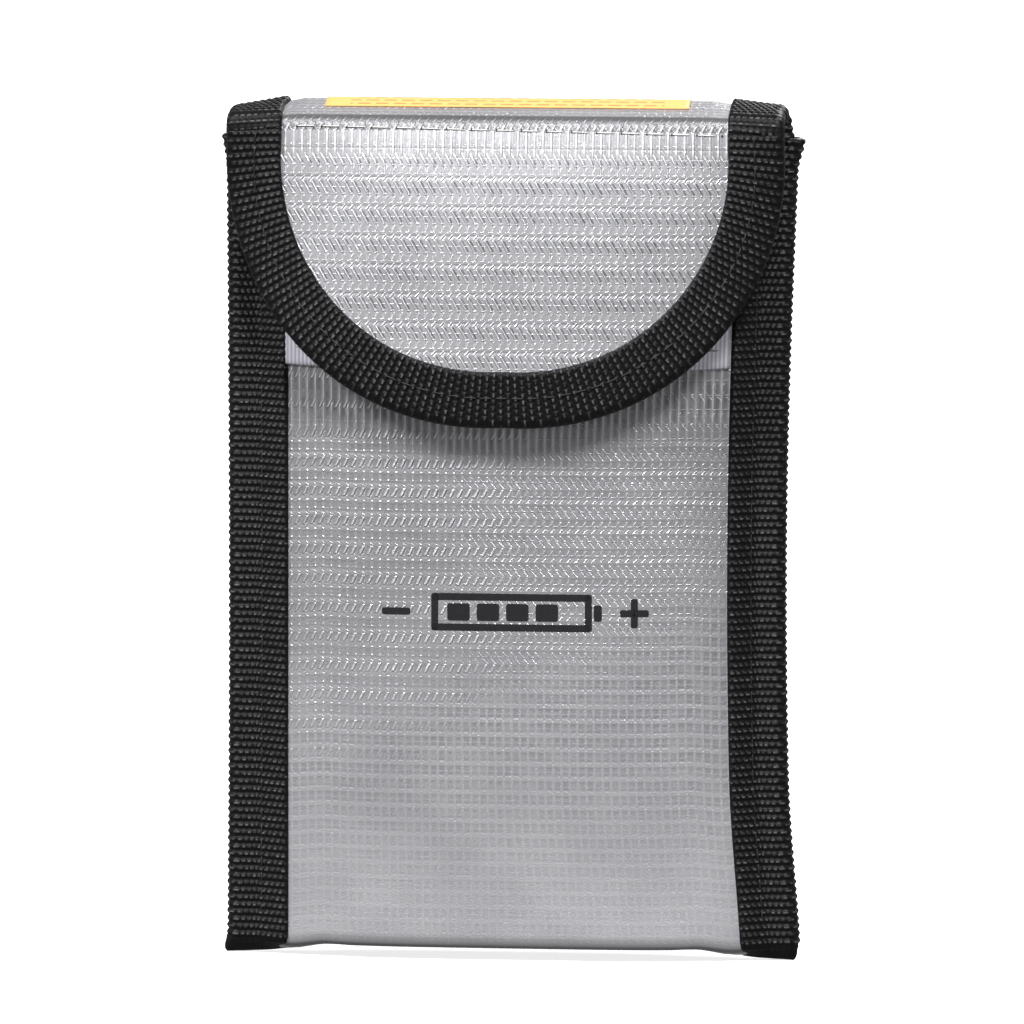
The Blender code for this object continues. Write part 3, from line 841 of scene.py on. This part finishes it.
def yellow_label():
    """Satin film with rows of small bars in place of any wording."""
    n = Material("yellow_label", (0.95, 0.6, 0.15), 0.5)
    x, d, _, vector = n.kept("pattern")
    row = n.math("DIVIDE", d, LABEL_LINE)
    in_row = n.math("FRACT", row)
    line = n.product(n.math("GREATER_THAN", in_row, 0.35), n.math("LESS_THAN", in_row, 0.66))
    shifted = n.math("MULTIPLY_ADD", n.math("FLOOR", row), 1.37, x)
    bar = n.math("LESS_THAN", n.math("FRACT", n.math("DIVIDE", shifted, LABEL_BAR)), 0.70)
    inside = n.math("LESS_THAN", n.math("ABSOLUTE", x), LABEL_MARGIN)
    film = n.mix_colour(n.noise(vector, 0.3), (0.90, 0.42, 0.11), (0.93, 0.45, 0.14))
    n.set("Base Color", n.mix_colour(n.product(line, bar, inside, 0.75), film, (0.30, 0.11, 0.04)))
    n.bump(n.noise(vector, 0.5), 0.00015, 0.4)
    return n.made


def facing_cloth():
    """The smoother, brighter foil of the mouth's facing, finely ribbed."""
    n = Material("facing_cloth", (0.80, 0.78, 0.86), 0.34, 0.6)
    x, _, _, vector = n.kept("pattern")
    rib = n.math("SINE", n.product(x, 2 * math.pi / (FACING_RIB / MM)))
    n.bump(n.math("MULTIPLY_ADD", n.noise(vector, 2.0, 3.0), 0.8, rib), 0.00004, 0.8)
    # the rib crests are painted lighter and the troughs darker: painted highlight and shade
    on_rib = n.ramp(rib, -1.0, 1.0)
    n.set("Base Color", n.mix_colour(on_rib, (0.55, 0.53, 0.63), (0.88, 0.87, 0.93)))
    return n.made


def speckled(name, colour, roughness, shades, scale, detail, depth, strength):
    """A small piece's finish: one noise for its colour and its grain."""
    n = Material(name, colour, roughness)
    grain = n.noise(n.add("ShaderNodeTexCoord").outputs["Object"], scale, detail)
    n.bump(grain, depth, strength)
    n.set("Base Color", n.mix_colour(grain, *shades))
    return n.made


def thread_material(name, colour):
    darker = tuple(0.6 * value for value in colour)
    return speckled(name, colour, 0.5, (darker, colour), 4000.0, 2.0, 0.00005, 0.6)


def print_ink():
    shades = ((0.004, 0.004, 0.005), (0.012, 0.012, 0.014))
    return speckled("print_ink", (0.006, 0.006, 0.007), 0.45, shades, 900.0, 3.0, 0.00004, 0.5)


SILVER = silver_cloth()
WEBBING = black_webbing()
VELOUR = velour()
HOOKS = hook_nylon()
LABEL = yellow_label()
GREY_THREAD = thread_material("grey_thread", (0.42, 0.42, 0.44))
WHITE_THREAD = thread_material("white_thread", (0.80, 0.80, 0.78))
DARK_THREAD = thread_material("black_thread", (0.014, 0.014, 0.016))
INK = print_ink()
FACING = facing_cloth()


# ================================================================ silver cloth
def cloth_relief(x, d):
    """At a pattern point: how deep the emboss is, how far it slants, and its upright lines."""
    z = MOUTH_Z - d
    below_fold = d - STARTS["flap"]
    on_flap = below_fold > 0
    on_front = d < STARTS["bottom"]
    front_deep = FRONT_DEEP + sum(more(z, *change) for change in FRONT_DEEPER)
    back_deep = BACK_DEEP + more(d - STARTS["back"], *BACK_DEEPER)
    deep = np.where(on_front, front_deep, np.where(d > STARTS["ridge"], RIDGE_DEEP, back_deep))
    strokes_from = STROKES_FROM + STROKES_TILT * x / TAPE_INNER_X
    front_slanted = LEVEL_SLANT + (1.0 - LEVEL_SLANT) * rise(z, strokes_from, STROKES_RUN)
    shade_from = SHADE_FROM - SHADE_DIP * np.exp(-((x / SHADE_DIP_WIDTH) ** 2))
    front_upright = SHADE_LINES * rise(z, shade_from, SHADE_RUN)
    slanted = np.where(on_front, front_slanted, 1.0)
    upright = np.where(on_front, front_upright, 0.0)
    return points(np.where(on_flap, 1.0, deep),
                  np.where(on_flap, rise(below_fold, *FLAP_SLANT), slanted),
                  np.where(on_flap, 1.0 - more(below_fold, *FLAP_LESS_UPRIGHT), upright))


def front_painted_light(x, d):
    """Brightness of the front, all painted light and shade: a painted shadow under the flap,
    painted light low down and painted shade at the turn to the bottom.
    """
    z = MOUTH_Z - d
    past_bottom = d - STARTS["bottom"]
    shade = FRONT_TONE - more(z, *FRONT_DARKER) + FRONT_SIDEWAYS * x / BAG_HALF_WIDTH
    shade = shade + less(z, *FRONT_LIGHTER)
    shade = shade * (1.0 - more(past_bottom, *TURN_DARKER))
    place, half_width, amount = TURN_LINE
    return shade * (1.0 - amount * np.exp(-((past_bottom - place) / half_width) ** 2))


def cloth_tone(x, d):
    """At a pattern point: painted light and shade for the colour, which way the emboss catches
    light, and cross stripes.
    """
    fold, flap = STARTS["fold"], STARTS["flap"]
    # the flap's colour is painted lighter below the fold and at its tip, and darker to the right:
    # painted light and shade
    lit_run, lit = FLAP_LIT
    painted_light_near_fold = lit * np.exp(-np.maximum(d - flap, 0.0) / lit_run)
    flap_painted_light = FLAP_TONE + painted_light_near_fold - FLAP_SIDEWAYS * x / FLAP_RADIUS + more(d - flap, *FLAP_TIP)
    # the fold's dark band is a painted dark reflection
    painted_fold_dark = less(d - fold, *FOLD_TOP_DARK) + less(d - flap, *FOLD_DARK)
    shade = np.where(d > flap, flap_painted_light, 1.0) - rise(d - fold, *FOLD_DARKENS) * painted_fold_dark
    shade = np.where(d < STARTS["bottom"] + BOTTOM_RUN / 2, front_painted_light(x, d), shade)
    lean = np.where(d > fold, FLAP_LEAN_TONE, np.clip(x / LEAN_WIDTH, -1.0, 1.0))
    stripes = rise(d, STARTS["ridge"], 2 * MM) * fall(d, fold + 0.8 * MM, 0.6 * MM)
    return points(shade, lean, stripes)


def silver_layers(part, x, d):
    """The outer cloth and its lining, on the same pattern points."""
    for layer, (above, thickness) in LAYERS.items():
        relief, tone = cloth_relief(x, d), cloth_tone(x, d)
        if layer == "lining":
            relief[..., 0] *= LINING_RELIEF
            tone[..., 0] *= LINING_TONE
        made = grid_piece(f"{part}_{layer}", cloth(x, d, above), SILVER, thickness, (x, d),
                          relief, tone, flip=True)
        yield layer, made


def make_pouch_cloth():
    """Front, bottom and back, up to the level of the mouth."""
    x, d = mesh_grid(even(-CLOTH_EDGE_X, CLOTH_EDGE_X, COARSE), even(0.0, D_SPLIT_BACK, COARSE))
    stands_for = {"cloth": "body_shell", "lining": "body_liner"}
    for layer, made in silver_layers("pouch", x, d):
        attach(made, "body")
        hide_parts(stands_for[layer])


def make_ridge_cloth():
    """The back above the mouth, over the ridge and half the top strip."""
    x, d = mesh_grid(even(-CLOTH_EDGE_X, CLOTH_EDGE_X, COARSE),
                     even(D_SPLIT_BACK, D_SPLIT_STRIP, FINE))
    for _, made in silver_layers("ridge", x, d):
        ridge_blend(made)


def disc_point(radius, theta):
    """Pattern point on the half disc, theta 0 at the right side and pi/2 at the tip."""
    fuller = radius * (1.0 + FLAP_FULLER * np.abs(np.sin(2 * theta)))
    return fuller * np.cos(theta), D_FLAP_CENTRE + fuller * np.sin(theta)


def flap_pattern(radius):
    """Pattern points of half the top strip and the half disc below the fold."""
    half = np.sin(np.linspace(-np.pi / 2, np.pi / 2, 111))
    straight = even(D_SPLIT_STRIP, D_FLAP_CENTRE, FINE)
    angles = np.linspace(0.0, np.pi / 2, 90)[1:-1]
    disc_widths, disc_ds = disc_point(radius, angles)
    before_fold = fall(straight, STARTS["fold"], 2 * MM)
    widths = np.concatenate([radius + (CLOTH_EDGE_X - radius) * before_fold, disc_widths])
    x = np.multiply.outer(half, widths)
    return x, np.broadcast_to(np.concatenate([straight, disc_ds]), x.shape)


def make_flap_cloth():
    x, d = flap_pattern(FLAP_TURN_RADIUS)
    stands_for = {"cloth": ("top_shell", "flap_shell"), "lining": ("top_liner", "flap_liner")}
    for layer, made in silver_layers("flap", x, d):
        fold_blend(made)
        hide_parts(*stands_for[layer])


# ================================================================ webbing tape
def gradient_normals(places):
    return unit(np.cross(np.gradient(places, axis=0), np.gradient(places, axis=1)))


def webbing_relief(a, along):
    """Height of the weave, 0 to 1: ribs across the tape, each broken into short floats."""
    rib_number = np.floor(along / RIB)
    rib = np.sin(np.pi * (along / RIB - rib_number))
    shift = 0.5 * (rib_number % 2)
    dash = 1.0 - np.abs(np.cos(np.pi * (a / DASH + shift))) ** 6
    return rib ** 1.6 * (0.35 + 0.65 * dash)


def rolled(distance, radius):
    """Height share of a tape's edge: 0 at the edge, 1 from radius inwards."""
    inwards = np.clip(distance / radius, 0.0, 1.0)
    return np.sqrt(1.0 - (1.0 - inwards) ** 2)


def laid_length(base, inside_out):
    """Length along the outside of a laid tape, row by row, halfway across its front leg."""
    column = base.shape[0] // 4
    outside = base[column] + inside_out * gradient_normals(base)[column] * TAPE_OUT
    steps = np.linalg.norm(np.diff(outside, axis=0), axis=-1)
    return np.broadcast_to(np.concatenate([[0.0], np.cumsum(steps)]), base.shape[:2])


def tape_grid(width, length):
    """Places across and along a tape, close enough together to show its weave."""
    columns = int(round(width / DASH * POINTS_A_RIB)) + 1
    rows = int(round(length / RIB * POINTS_A_RIB)) + 1
    return np.linspace(0.0, width, columns), np.linspace(0.0, length, rows)


def tape_piece(name, base, a, along, ends, plain_below=None, calm_fold=0.0, inside_out=1):
    """Webbing laid on base, (columns, rows, 3); its long edges and its free ends are rolled.

    calm_fold smooths the weave along the tape's middle, where it is folded tight.
    ends holds the first and the last along, or None for an end that goes on as another piece.
    """
    edge = rolled(np.minimum(a, a.max() - a), 0.7 * MM)
    first, last = ends
    if first is not None:
        edge = edge * rolled(along - first, 0.5 * MM)
    if last is not None:
        edge = edge * rolled(last - along, 0.5 * MM)
    woven = 1.0 - calm_fold * np.exp(-((a - a.max() / 2) / (0.9 * MM)) ** 2)
    if plain_below is not None:
        woven = woven * (1.0 - rise(along, plain_below, 0.8 * MM))
    height = edge * (TAPE_OUT - 0.25 * MM + RIB_HEIGHT * woven * webbing_relief(a, along))
    places = base + inside_out * gradient_normals(base) * height[..., None]
    made = grid_piece(name, places, WEBBING, 0.0, (a, along), (woven * edge)[..., None],
                      flip=inside_out < 0)
    return made


def side_section(a, leg_x):
    """Across the side tape: x of the leg and the angle round the cloth's edge."""
    leg = leg_x * SLOPE_ALLOWANCE
    x = np.where(a < leg, TURN_X - leg_x * (1.0 - a / leg), TURN_X)
    x = np.where(a > leg + SIDE_TURN, TURN_X - leg_x * (a - leg - SIDE_TURN) / leg, x)
    return x, np.clip((a - leg) / SIDE_TURN, 0.0, 1.0) * np.pi


def seam_surface(x, angle, along, hand):
    """Outer face of the bound cloth, angle 0 on the front and pi on the back."""
    z = TAPE_TOP - along
    outwards = np.clip((x - TAPE_INNER_X) / (TURN_X - TAPE_INNER_X), 0.0, 1.0)
    foot = fall(z, TOE_HEIGHT, TOE_HEIGHT)
    pinched = 1.0 - TOE_PINCH * foot**2
    front = (SEAM_HALF + bulge(z, FRONT) * fullness(x)) * pinched
    back = (SEAM_HALF + bulge(z, BACK) * fullness(x)) * pinched
    share = (1.0 - np.cos(angle)) / 2
    y = -front * (1.0 - share) + back * share
    corner = np.clip(1.0 - z / TOE_CORNER, 0.0, 1.0)
    flare = EARS[hand] * rise(z, TAPE_TOP - EAR_HEIGHT, EAR_HEIGHT) ** 1.5
    flare = flare + TOES[hand] * foot - TOE_CORNER * (1.0 - np.sqrt(1.0 - corner**2))
    sided = hand * across_at(hand * x, z)
    raised = z + TOE_RISE * foot * (1.0 - outwards) ** 2
    return points(hand * (sided + flare * outwards + SEAM_HALF * np.sin(angle)), y, raised)


def make_side_tapes():
    length = TAPE_TOP - 0.2 * MM
    for hand, word in HANDS:
        a, along = tape_grid(2 * LEGS[hand] * SLOPE_ALLOWANCE + SIDE_TURN, length)
        x, angle = side_section(a, LEGS[hand])
        base = seam_surface(x[:, None], angle[:, None], along[None, :], hand)
        made = tape_piece(f"side_tape_{word}", base, *mesh_grid(a, along), (0.0, length),
                          plain_below=length - 2.8 * MM, inside_out=-hand)
        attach(made, "body")
        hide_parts(f"side_binding_{word}")


def edge_point(r, along, start_d, turn=FLAP_TURN_RADIUS):
    """Pattern point at r from the flap's middle line, along a line that starts at start_d on
    the right and goes round the half disc with the turn as its radius."""
    straight = D_FLAP_CENTRE - start_d
    arc = np.pi * turn
    x, d = disc_point(r, np.clip((along - straight) / turn, 0.0, np.pi))
    d = np.where(along < straight, start_d + along, d)
    d = np.where(along > straight + arc, D_FLAP_CENTRE - (along - straight - arc), d)
    return x, d


def edge_surface(a, along, start_d, hand=1):
    """The cloth's edge that a tape is folded over: outer face, round the edge, inner face."""
    angle = np.clip((a - EDGE_LEG) / EDGE_TURN, 0.0, 1.0) * np.pi
    inset = np.maximum(EDGE_LEG - a, 0.0) + np.maximum(a - EDGE_LEG - EDGE_TURN, 0.0)
    before_flap = fall(along, D_SPLIT_STRIP - start_d, 6 * MM)
    r = FLAP_TURN_RADIUS - inset * (1.0 + NECK_WIDER[hand] * before_flap)
    x, d = edge_point(r, along, start_d)
    x_out, d_out = edge_point(r + NORMAL_STEP, along, start_d)
    place = middle(hand * x, d)
    away = unit(middle(hand * x_out, d_out) - place)
    up = outward(hand * x, d)
    return place + MID_STACK * (up * np.cos(angle)[..., None] + away * np.sin(angle)[..., None])


def make_edge_tapes():
    """One tape: up the left neck, round the flap and down the right, cut for the two folds."""
    flap_length = 2 * (D_FLAP_CENTRE - D_SPLIT_STRIP) + np.pi * FLAP_TURN_RADIUS
    a, along = mesh_grid(*tape_grid(EDGE_WIDTH, flap_length))
    base = edge_surface(a, along, D_SPLIT_STRIP)
    run = laid_length(base, -1)
    flap_run = run[0, -1]
    made = tape_piece("flap_tape", base, a, run, (None, None), calm_fold=0.85, inside_out=-1)
    fold_blend(made)
    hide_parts("flap_binding")

    neck_start = D_SPLIT_BACK + 0.6 * MM
    a, along = mesh_grid(*tape_grid(EDGE_WIDTH, D_SPLIT_STRIP - neck_start))
    for hand, word in HANDS:
        base = edge_surface(a, along, neck_start, hand)
        run = laid_length(base, -hand)
        run = run - run[0, -1]
        ends = (run[0, 0], None)
        if hand < 0:
            run = flap_run - run
            ends = (None, run[0, 0])
        made = tape_piece(f"neck_tape_{word}", base, a, run, ends, inside_out=-hand)
        ridge_blend(made)
        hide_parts(f"neck_binding_{word}", f"top_binding_{word}")


# ================================================================ mouth facing
def front_at(x, z, above):
    """A point above the outer face of the front wall at height z."""
    y = SEAM_HALF + bulge(z, FRONT) * fullness(x) + above
    return points(across_at(x, z), -y, z)


def make_mouth_facing():
    """Down the front, round the mouth's edge and a little way down inside."""
    outer = FACING_OUT
    inner = -(LINER_DEPTH + LINER + 0.25 * MM + FACING_THICK)
    centre, radius = (outer + inner) / 2, (outer - inner) / 2
    down = np.linspace(HEM_BOTTOM, MOUTH_Z, 90)
    turn = np.linspace(0.0, np.pi, 13)[1:-1]
    inside = np.linspace(MOUTH_Z, MOUTH_Z - FACING_INSIDE, 14)
    z = np.concatenate([down, MOUTH_Z + radius * 0.8 * np.sin(turn), inside])
    above = np.concatenate([np.full(down.shape, outer), centre + radius * np.cos(turn),
                            np.full(inside.shape, inner)])
    outside = above == outer
    edge = np.clip((z - HEM_BOTTOM) / (0.6 * MM), 0.0, 1.0)
    above = np.where(outside, outer - FACING_THICK * 0.6 * (1.0 - edge) ** 2, above)
    x = even(-FACING_HALF_WIDTH, FACING_HALF_WIDTH, 0.35 * MM)
    pleat = 0.05 * MM * np.sin(2 * np.pi * x / FACING_RIB)
    pleated = (above == outer)[None, :]
    places = front_at(x[:, None], z[None, :], above[None, :] + pleat[:, None] * pleated)
    run = np.concatenate([[0.0], np.cumsum(np.hypot(np.diff(z), np.diff(above)))])
    made = grid_piece("mouth_facing", places, FACING, FACING_THICK, mesh_grid(x, run))
    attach(made, "body")
    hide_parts("mouth_hem")


# ================================================================ label and print
def make_label():
    """Yellow film sewn on the back, running over the ridge on to the top strip."""
    reach = (RIDGE[1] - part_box("label_top")[0].y) / abs(STRIP_ALONG[1])
    end = STARTS["ridge"] + RIDGE_RUN / 2 + reach
    start = STARTS["back"] + LABEL_BOTTOM - WALL_END
    x, d = mesh_grid(even(-LABEL_HALF_WIDTH, LABEL_HALF_WIDTH, 0.8 * MM), even(start, end, FINE))
    made = grid_piece("label", cloth(x, d, LABEL_LIFT + LABEL_THICK), LABEL, LABEL_THICK, (x, d),
                      flip=True)
    ridge_blend(made)
    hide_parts("label_top", "label_back")


def ink_patch(width, height, right, up=0.0):
    """A rounded rectangle as a grid of offsets from the print's centre."""
    half = np.array([width, height]) / 2
    counts = [max(3, int(size / (0.5 * MM)) + 1) for size in (width, height)]
    u, v = mesh_grid(*[np.linspace(-reach, reach, count) for reach, count in zip(half, counts)])
    over_u = np.abs(u) - (half[0] - PRINT_CORNER)
    over_v = np.abs(v) - (half[1] - PRINT_CORNER)
    in_corner = (over_u > 0) & (over_v > 0)
    pull = np.maximum(over_u, over_v) / np.maximum(np.hypot(over_u, over_v), 1e-9)
    u = np.where(in_corner, np.sign(u) * (half[0] - PRINT_CORNER + over_u * pull), u)
    v = np.where(in_corner, np.sign(v) * (half[1] - PRINT_CORNER + over_v * pull), v)
    return u + right, v + up


def make_print():
    """A generic battery sign: minus, a cell with charge bars, plus."""
    tall, line, sign = PRINT_HEIGHT, PRINT_LINE, SIGN_SIZE
    half = CELL_WIDTH / 2
    patches = [
        ink_patch(CELL_WIDTH, line, 0.0, tall / 2 - line / 2),
        ink_patch(CELL_WIDTH, line, 0.0, -tall / 2 + line / 2),
        ink_patch(line, tall, -half + line / 2),
        ink_patch(line, tall, half - line / 2),
        ink_patch(1.5 * MM, 3.0 * MM, half + 1.1 * MM),
        ink_patch(sign, line, -half - 6.6 * MM),
        ink_patch(sign, line, half + 7.9 * MM),
        ink_patch(line, sign, half + 7.9 * MM),
    ]
    for bar in range(4):
        patches.append(ink_patch(*BAR_SIZE, -half + 5.1 * MM + bar * BAR_PITCH))
    for number, (u, v) in enumerate(patches):
        places = front_at(PRINT_CENTRE[0] + u, PRINT_CENTRE[1] + v, PRINT_LIFT)
        made = grid_piece(f"print_{number}", places, INK)
        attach(made, "body")


# ================================================================ stitches
def strand_faces(stitch):
    """The faces of one strand: its sides ring by ring, and its two ends."""
    base = stitch * STITCH_RINGS * STITCH_SIDES
    corners = range(STITCH_SIDES)
    faces = []
    for ring in range(STITCH_RINGS - 1):
        low = base + ring * STITCH_SIDES
        high = low + STITCH_SIDES
        for corner in corners:
            following = (corner + 1) % STITCH_SIDES
            faces.append((low + corner, low + following, high + following, high + corner))
    last = base + (STITCH_RINGS - 1) * STITCH_SIDES
    faces.append(tuple(base + corner for corner in reversed(corners)))
    faces.append(tuple(last + corner for corner in corners))
    return faces


def stitches(name, starts, ends, normals, finish, thick=THREAD, arch=0.12 * MM):
    """One small tapered, slightly arched strand for each start and end point."""
    t = np.linspace(0.0, 1.0, STITCH_RINGS)
    angle = 2 * np.pi * np.arange(STITCH_SIDES) / STITCH_SIDES
    side = unit(np.cross(unit(ends - starts), normals))
    arched = arch * np.sin(np.pi * t)[None, :, None] * normals[:, None, :]
    line = starts[:, None, :] + (ends - starts)[:, None, :] * t[None, :, None] + arched
    radius = thick * np.sqrt(np.clip(1.0 - (2 * t - 1.0) ** 6, 0.02, 1.0))
    ring = side[:, None, None, :] * np.cos(angle)[:, None]
    ring = ring + normals[:, None, None, :] * np.sin(angle)[:, None]
    places = line[:, :, None, :] + ring * radius[None, :, None, None]
    mesh = bpy.data.meshes.new(name)
    made = add_object(name, mesh)
    faces = [face for stitch in range(len(starts)) for face in strand_faces(stitch)]
    mesh.from_pydata([tuple(place) for place in places.reshape(-1, 3)], [], faces)
    mesh.shade_smooth()
    mesh.materials.append(finish)
    return made


def stitch_row(name, position, length, finish, pitch=STITCH, gap=STITCH_GAP, **sizes):
    """Stitches along a line: position(distances) gives points and surface normals."""
    count = max(1, int(length / pitch))
    begin = (np.arange(count) + 0.5 * (length / pitch - count)) * pitch + gap / 2
    starts, normals = position(begin)
    ends, _ = position(begin + pitch - gap)
    return stitches(name, starts, ends, normals, finish, **sizes)


def line_on(surface):
    """Wraps a curve on a surface so that it also returns the surface's normal."""
    def position(distance):
        here = surface(distance, 0.0)
        return here, unit(surface(distance, 1.0 * MM) - here)
    return position


def make_side_stitches():
    seam_x = SEAM_X - 0.5 * MM
    for hand, word in HANDS:
        for side, facing in ((FRONT, "front"), (BACK, "back")):
            def surface(distance, above, hand=hand, side=side):
                z = MOUTH_Z - 1.5 * MM - distance
                y = SEAM_HALF + bulge(z, side) * fullness(seam_x) + TAPE_OUT + above
                return points(across_at(hand * seam_x, z), side * y, z)
            name = f"stitches_{word}_{facing}"
            made = stitch_row(name, line_on(surface), MOUTH_Z - 7.0 * MM, DARK_THREAD)
            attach(made, "body")
            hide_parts(f"seam_thread_{word}_{facing}")


def make_flap_tape_stitches():
    radius = FLAP_TURN_RADIUS - 4.2 * MM
    start_d = D_SPLIT_STRIP + 6.0 * MM
    length = 2 * (D_FLAP_CENTRE - start_d) + np.pi * radius

    def surface(distance, above):
        x, d = edge_point(radius, distance, start_d, radius)
        return cloth(x, d, TAPE_OUT - 0.05 * MM + above)

    made = stitch_row("stitches_flap_tape", line_on(surface), length, DARK_THREAD, arch=0.1 * MM)
    fold_blend(made)
    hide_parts("flap_binding_thread")


def make_fold_stitches():
    """The row just below the front fold, a little askew, with a dark hole at each stitch, its
    darkness painted shade.
    """
    half = TAPE_INNER_X - 0.5 * MM
    middle_d = STARTS["flap"] + 0.1 * MM
    askew = 0.014
    pitch, gap, hole = 4.6 * MM, 0.6 * MM, 0.3 * MM

    def surface(distance, above):
        x = distance - half
        return cloth(x, middle_d + askew * x, 0.1 * MM + above)

    made = stitch_row("stitches_fold", line_on(surface), 2 * half, WHITE_THREAD, pitch=pitch,
                      gap=gap, thick=0.12 * MM, arch=0.05 * MM)
    fold_blend(made)
    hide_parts("fold_thread")
    # each hole is a short dark strand: painted shade in the needle hole
    begin = np.arange(pitch / 2 + hole, 2 * half, pitch)
    starts, normals = line_on(surface)(begin)
    ends, _ = line_on(surface)(begin + hole)
    holes = stitches("stitch_holes_fold", starts, ends, normals, DARK_THREAD, thick=0.2 * MM,
                     arch=0.0)
    fold_blend(holes)


def make_facing_stitches():
    half = FACING_HALF_WIDTH - 0.5 * MM
    height = HEM_BOTTOM + 3.5 * MM

    def surface(distance, above):
        return front_at(distance - half, height, FACING_OUT + above)

    made = stitch_row("stitches_facing", line_on(surface), 2 * half, GREY_THREAD, pitch=3.6 * MM,
                      thick=0.18 * MM, arch=0.05 * MM)
    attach(made, "body")
    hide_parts("hem_thread")


# ================================================================ closure
def patch_grid(low, high, spacing):
    """Points over a CAD box, x and z, and how far each one is from the patch's edge."""
    x, z = mesh_grid(even(low.x, high.x, spacing), even(low.z, high.z, spacing))
    sideways = np.minimum(x - low.x, high.x - x)
    return x, z, np.minimum(sideways, np.minimum(z - low.z, high.z - z))


def make_loop_patch():
    """Soft half of the closure on the front, with a brushed pile."""
    low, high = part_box("loop_tape")
    rng = np.random.default_rng(7)
    x, z, from_edge = patch_grid(low, high, 0.3 * MM)
    pile = rng.uniform(0.0, 0.35 * MM, x.shape)
    above = 0.95 * MM + (0.75 * MM + pile) * rolled(from_edge, 0.5 * MM)
    made = grid_piece("loop_patch", front_at(x, z, above), VELOUR, 0.0, (x, z))
    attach(made, "body")
    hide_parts("loop_tape")

    inset = 1.4 * MM
    width, height = high.x - low.x - 2 * inset, high.z - low.z - 2 * inset

    def surface(distance, above):
        back = distance - width - height
        along_x = np.clip(distance, 0.0, width) - np.clip(back, 0.0, width)
        along_z = np.clip(distance - width, 0.0, height) - np.clip(back - width, 0.0, height)
        return front_at(low.x + inset + along_x, low.z + inset + along_z, 1.95 * MM + above)

    made = stitch_row("stitches_loop_patch", line_on(surface), 2 * (width + height), DARK_THREAD)
    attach(made, "body")
    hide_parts("loop_tape_thread")


def make_hook_patch():
    """Hook half of the closure, inside the flap: a base with rows of small hooks."""
    low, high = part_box("hook_tape")
    behind = LINER_DEPTH + LINER
    level_d = STARTS["flap"] + FRONT_FOLD[2] - FOLD_ROUND
    x, z, from_edge = patch_grid(low, high, 0.5 * MM)
    depth = behind + 0.2 * MM + 0.45 * MM * rolled(from_edge, 0.4 * MM)
    base = grid_piece("hook_patch", cloth(x, level_d - z, -depth), HOOKS, 0.0, (x, z))
    pitch = 1.3 * MM
    hook_x, hook_z = np.meshgrid(np.arange(low.x + pitch, high.x - pitch / 2, pitch),
                                 np.arange(low.z + pitch, high.z - pitch / 2, pitch))
    hook_x, hook_d = hook_x.ravel(), level_d - hook_z.ravel()
    foot = cloth(hook_x, hook_d, -behind - 0.5 * MM)
    tip = cloth(hook_x + 0.5 * MM, hook_d, -behind - 0.8 * MM)
    hooks = stitches("hook_rows", foot, tip, -outward(hook_x, hook_d), HOOKS, thick=0.1 * MM,
                     arch=0.45 * MM)
    for made in (base, hooks):
        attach(made, "flap")
    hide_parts("hook_tape")


# ================================================================ stage
def make_floor():
    mesh = flat_grid("floor", 1, 1, FLOOR_HALF)
    floor = add_object("floor", mesh)
    finish = Material("floor", (0.9, 0.9, 0.9), 0.85)
    finish.set("Emission Color", (1.0, 1.0, 1.0, 1.0))
    finish.set("Emission Strength", FLOOR_GLOW)
    mesh.materials.append(finish.made)
    floor.visible_diffuse = False
    floor.visible_glossy = False


def make_world():
    """A white studio: a bright band along the horizon, and softer above and below it."""
    world = bpy.data.worlds.new("studio")
    bpy.context.scene.world = world
    world.use_nodes = True
    n = Nodes(world.node_tree)
    height = n.split(n.add("ShaderNodeTexCoord").outputs["Generated"])[2]
    ramp = n.add("ShaderNodeValToRGB")
    n.feed(ramp.inputs["Fac"], n.math("MULTIPLY_ADD", height, 0.5, 0.5))
    stops = ramp.color_ramp.elements
    while len(stops) < len(SKY):
        stops.new(0.5)
    for stop, (level, value) in zip(stops, SKY):
        stop.position = 0.5 + 0.5 * level
        stop.color = (value, value, value, 1.0)
    n.feed(world.node_tree.nodes["Background"].inputs["Color"], ramp.outputs["Color"])


def area_light(name, place, size, power):
    light = bpy.data.lights.new(name, "AREA")
    light.size = size
    light.energy = power
    made = add_object(name, light)
    made.location = place
    aim = Vector((0.0, 0.0, 0.5 * MOUTH_Z)) - Vector(place)
    made.rotation_euler = aim.to_track_quat("-Z", "Y").to_euler()


def make_lights():
    area_light("softbox_left", (-2.2, -1.8, 2.5), 0.9, 150.0)
    area_light("softbox_front", (0.9, -2.3, 2.7), 0.9, 130.0)
    area_light("softbox_back", (1.0, 2.6, 2.2), 1.2, 60.0)


def make_camera():
    data = bpy.data.cameras.new("camera")
    data.sensor_width = 36.0
    data.lens = data.sensor_width * CAMERA_DISTANCE / VIEW_WIDTH
    camera = add_object("camera", data)
    level = math.cos(CAMERA_ELEVATION)
    back = Vector((level * math.sin(CAMERA_AZIMUTH), -level * math.cos(CAMERA_AZIMUTH),
                   math.sin(CAMERA_ELEVATION)))
    camera.location = CAMERA_AIM + back * CAMERA_DISTANCE
    turn = (-back).to_track_quat("-Z", "Y").to_matrix().to_4x4()
    camera.rotation_euler = (turn @ Matrix.Rotation(CAMERA_ROLL, 4, "Z")).to_euler()
    bpy.context.scene.camera = camera
    bpy.context.scene.view_settings.view_transform = "Standard"


make_camera()
make_floor()
make_world()
make_lights()
make_pouch_cloth()
make_ridge_cloth()
make_flap_cloth()
make_side_tapes()
make_edge_tapes()
make_mouth_facing()
make_label()
make_print()
make_side_stitches()
make_flap_tape_stitches()
make_fold_stitches()
make_facing_stitches()
make_loop_patch()
make_hook_patch()
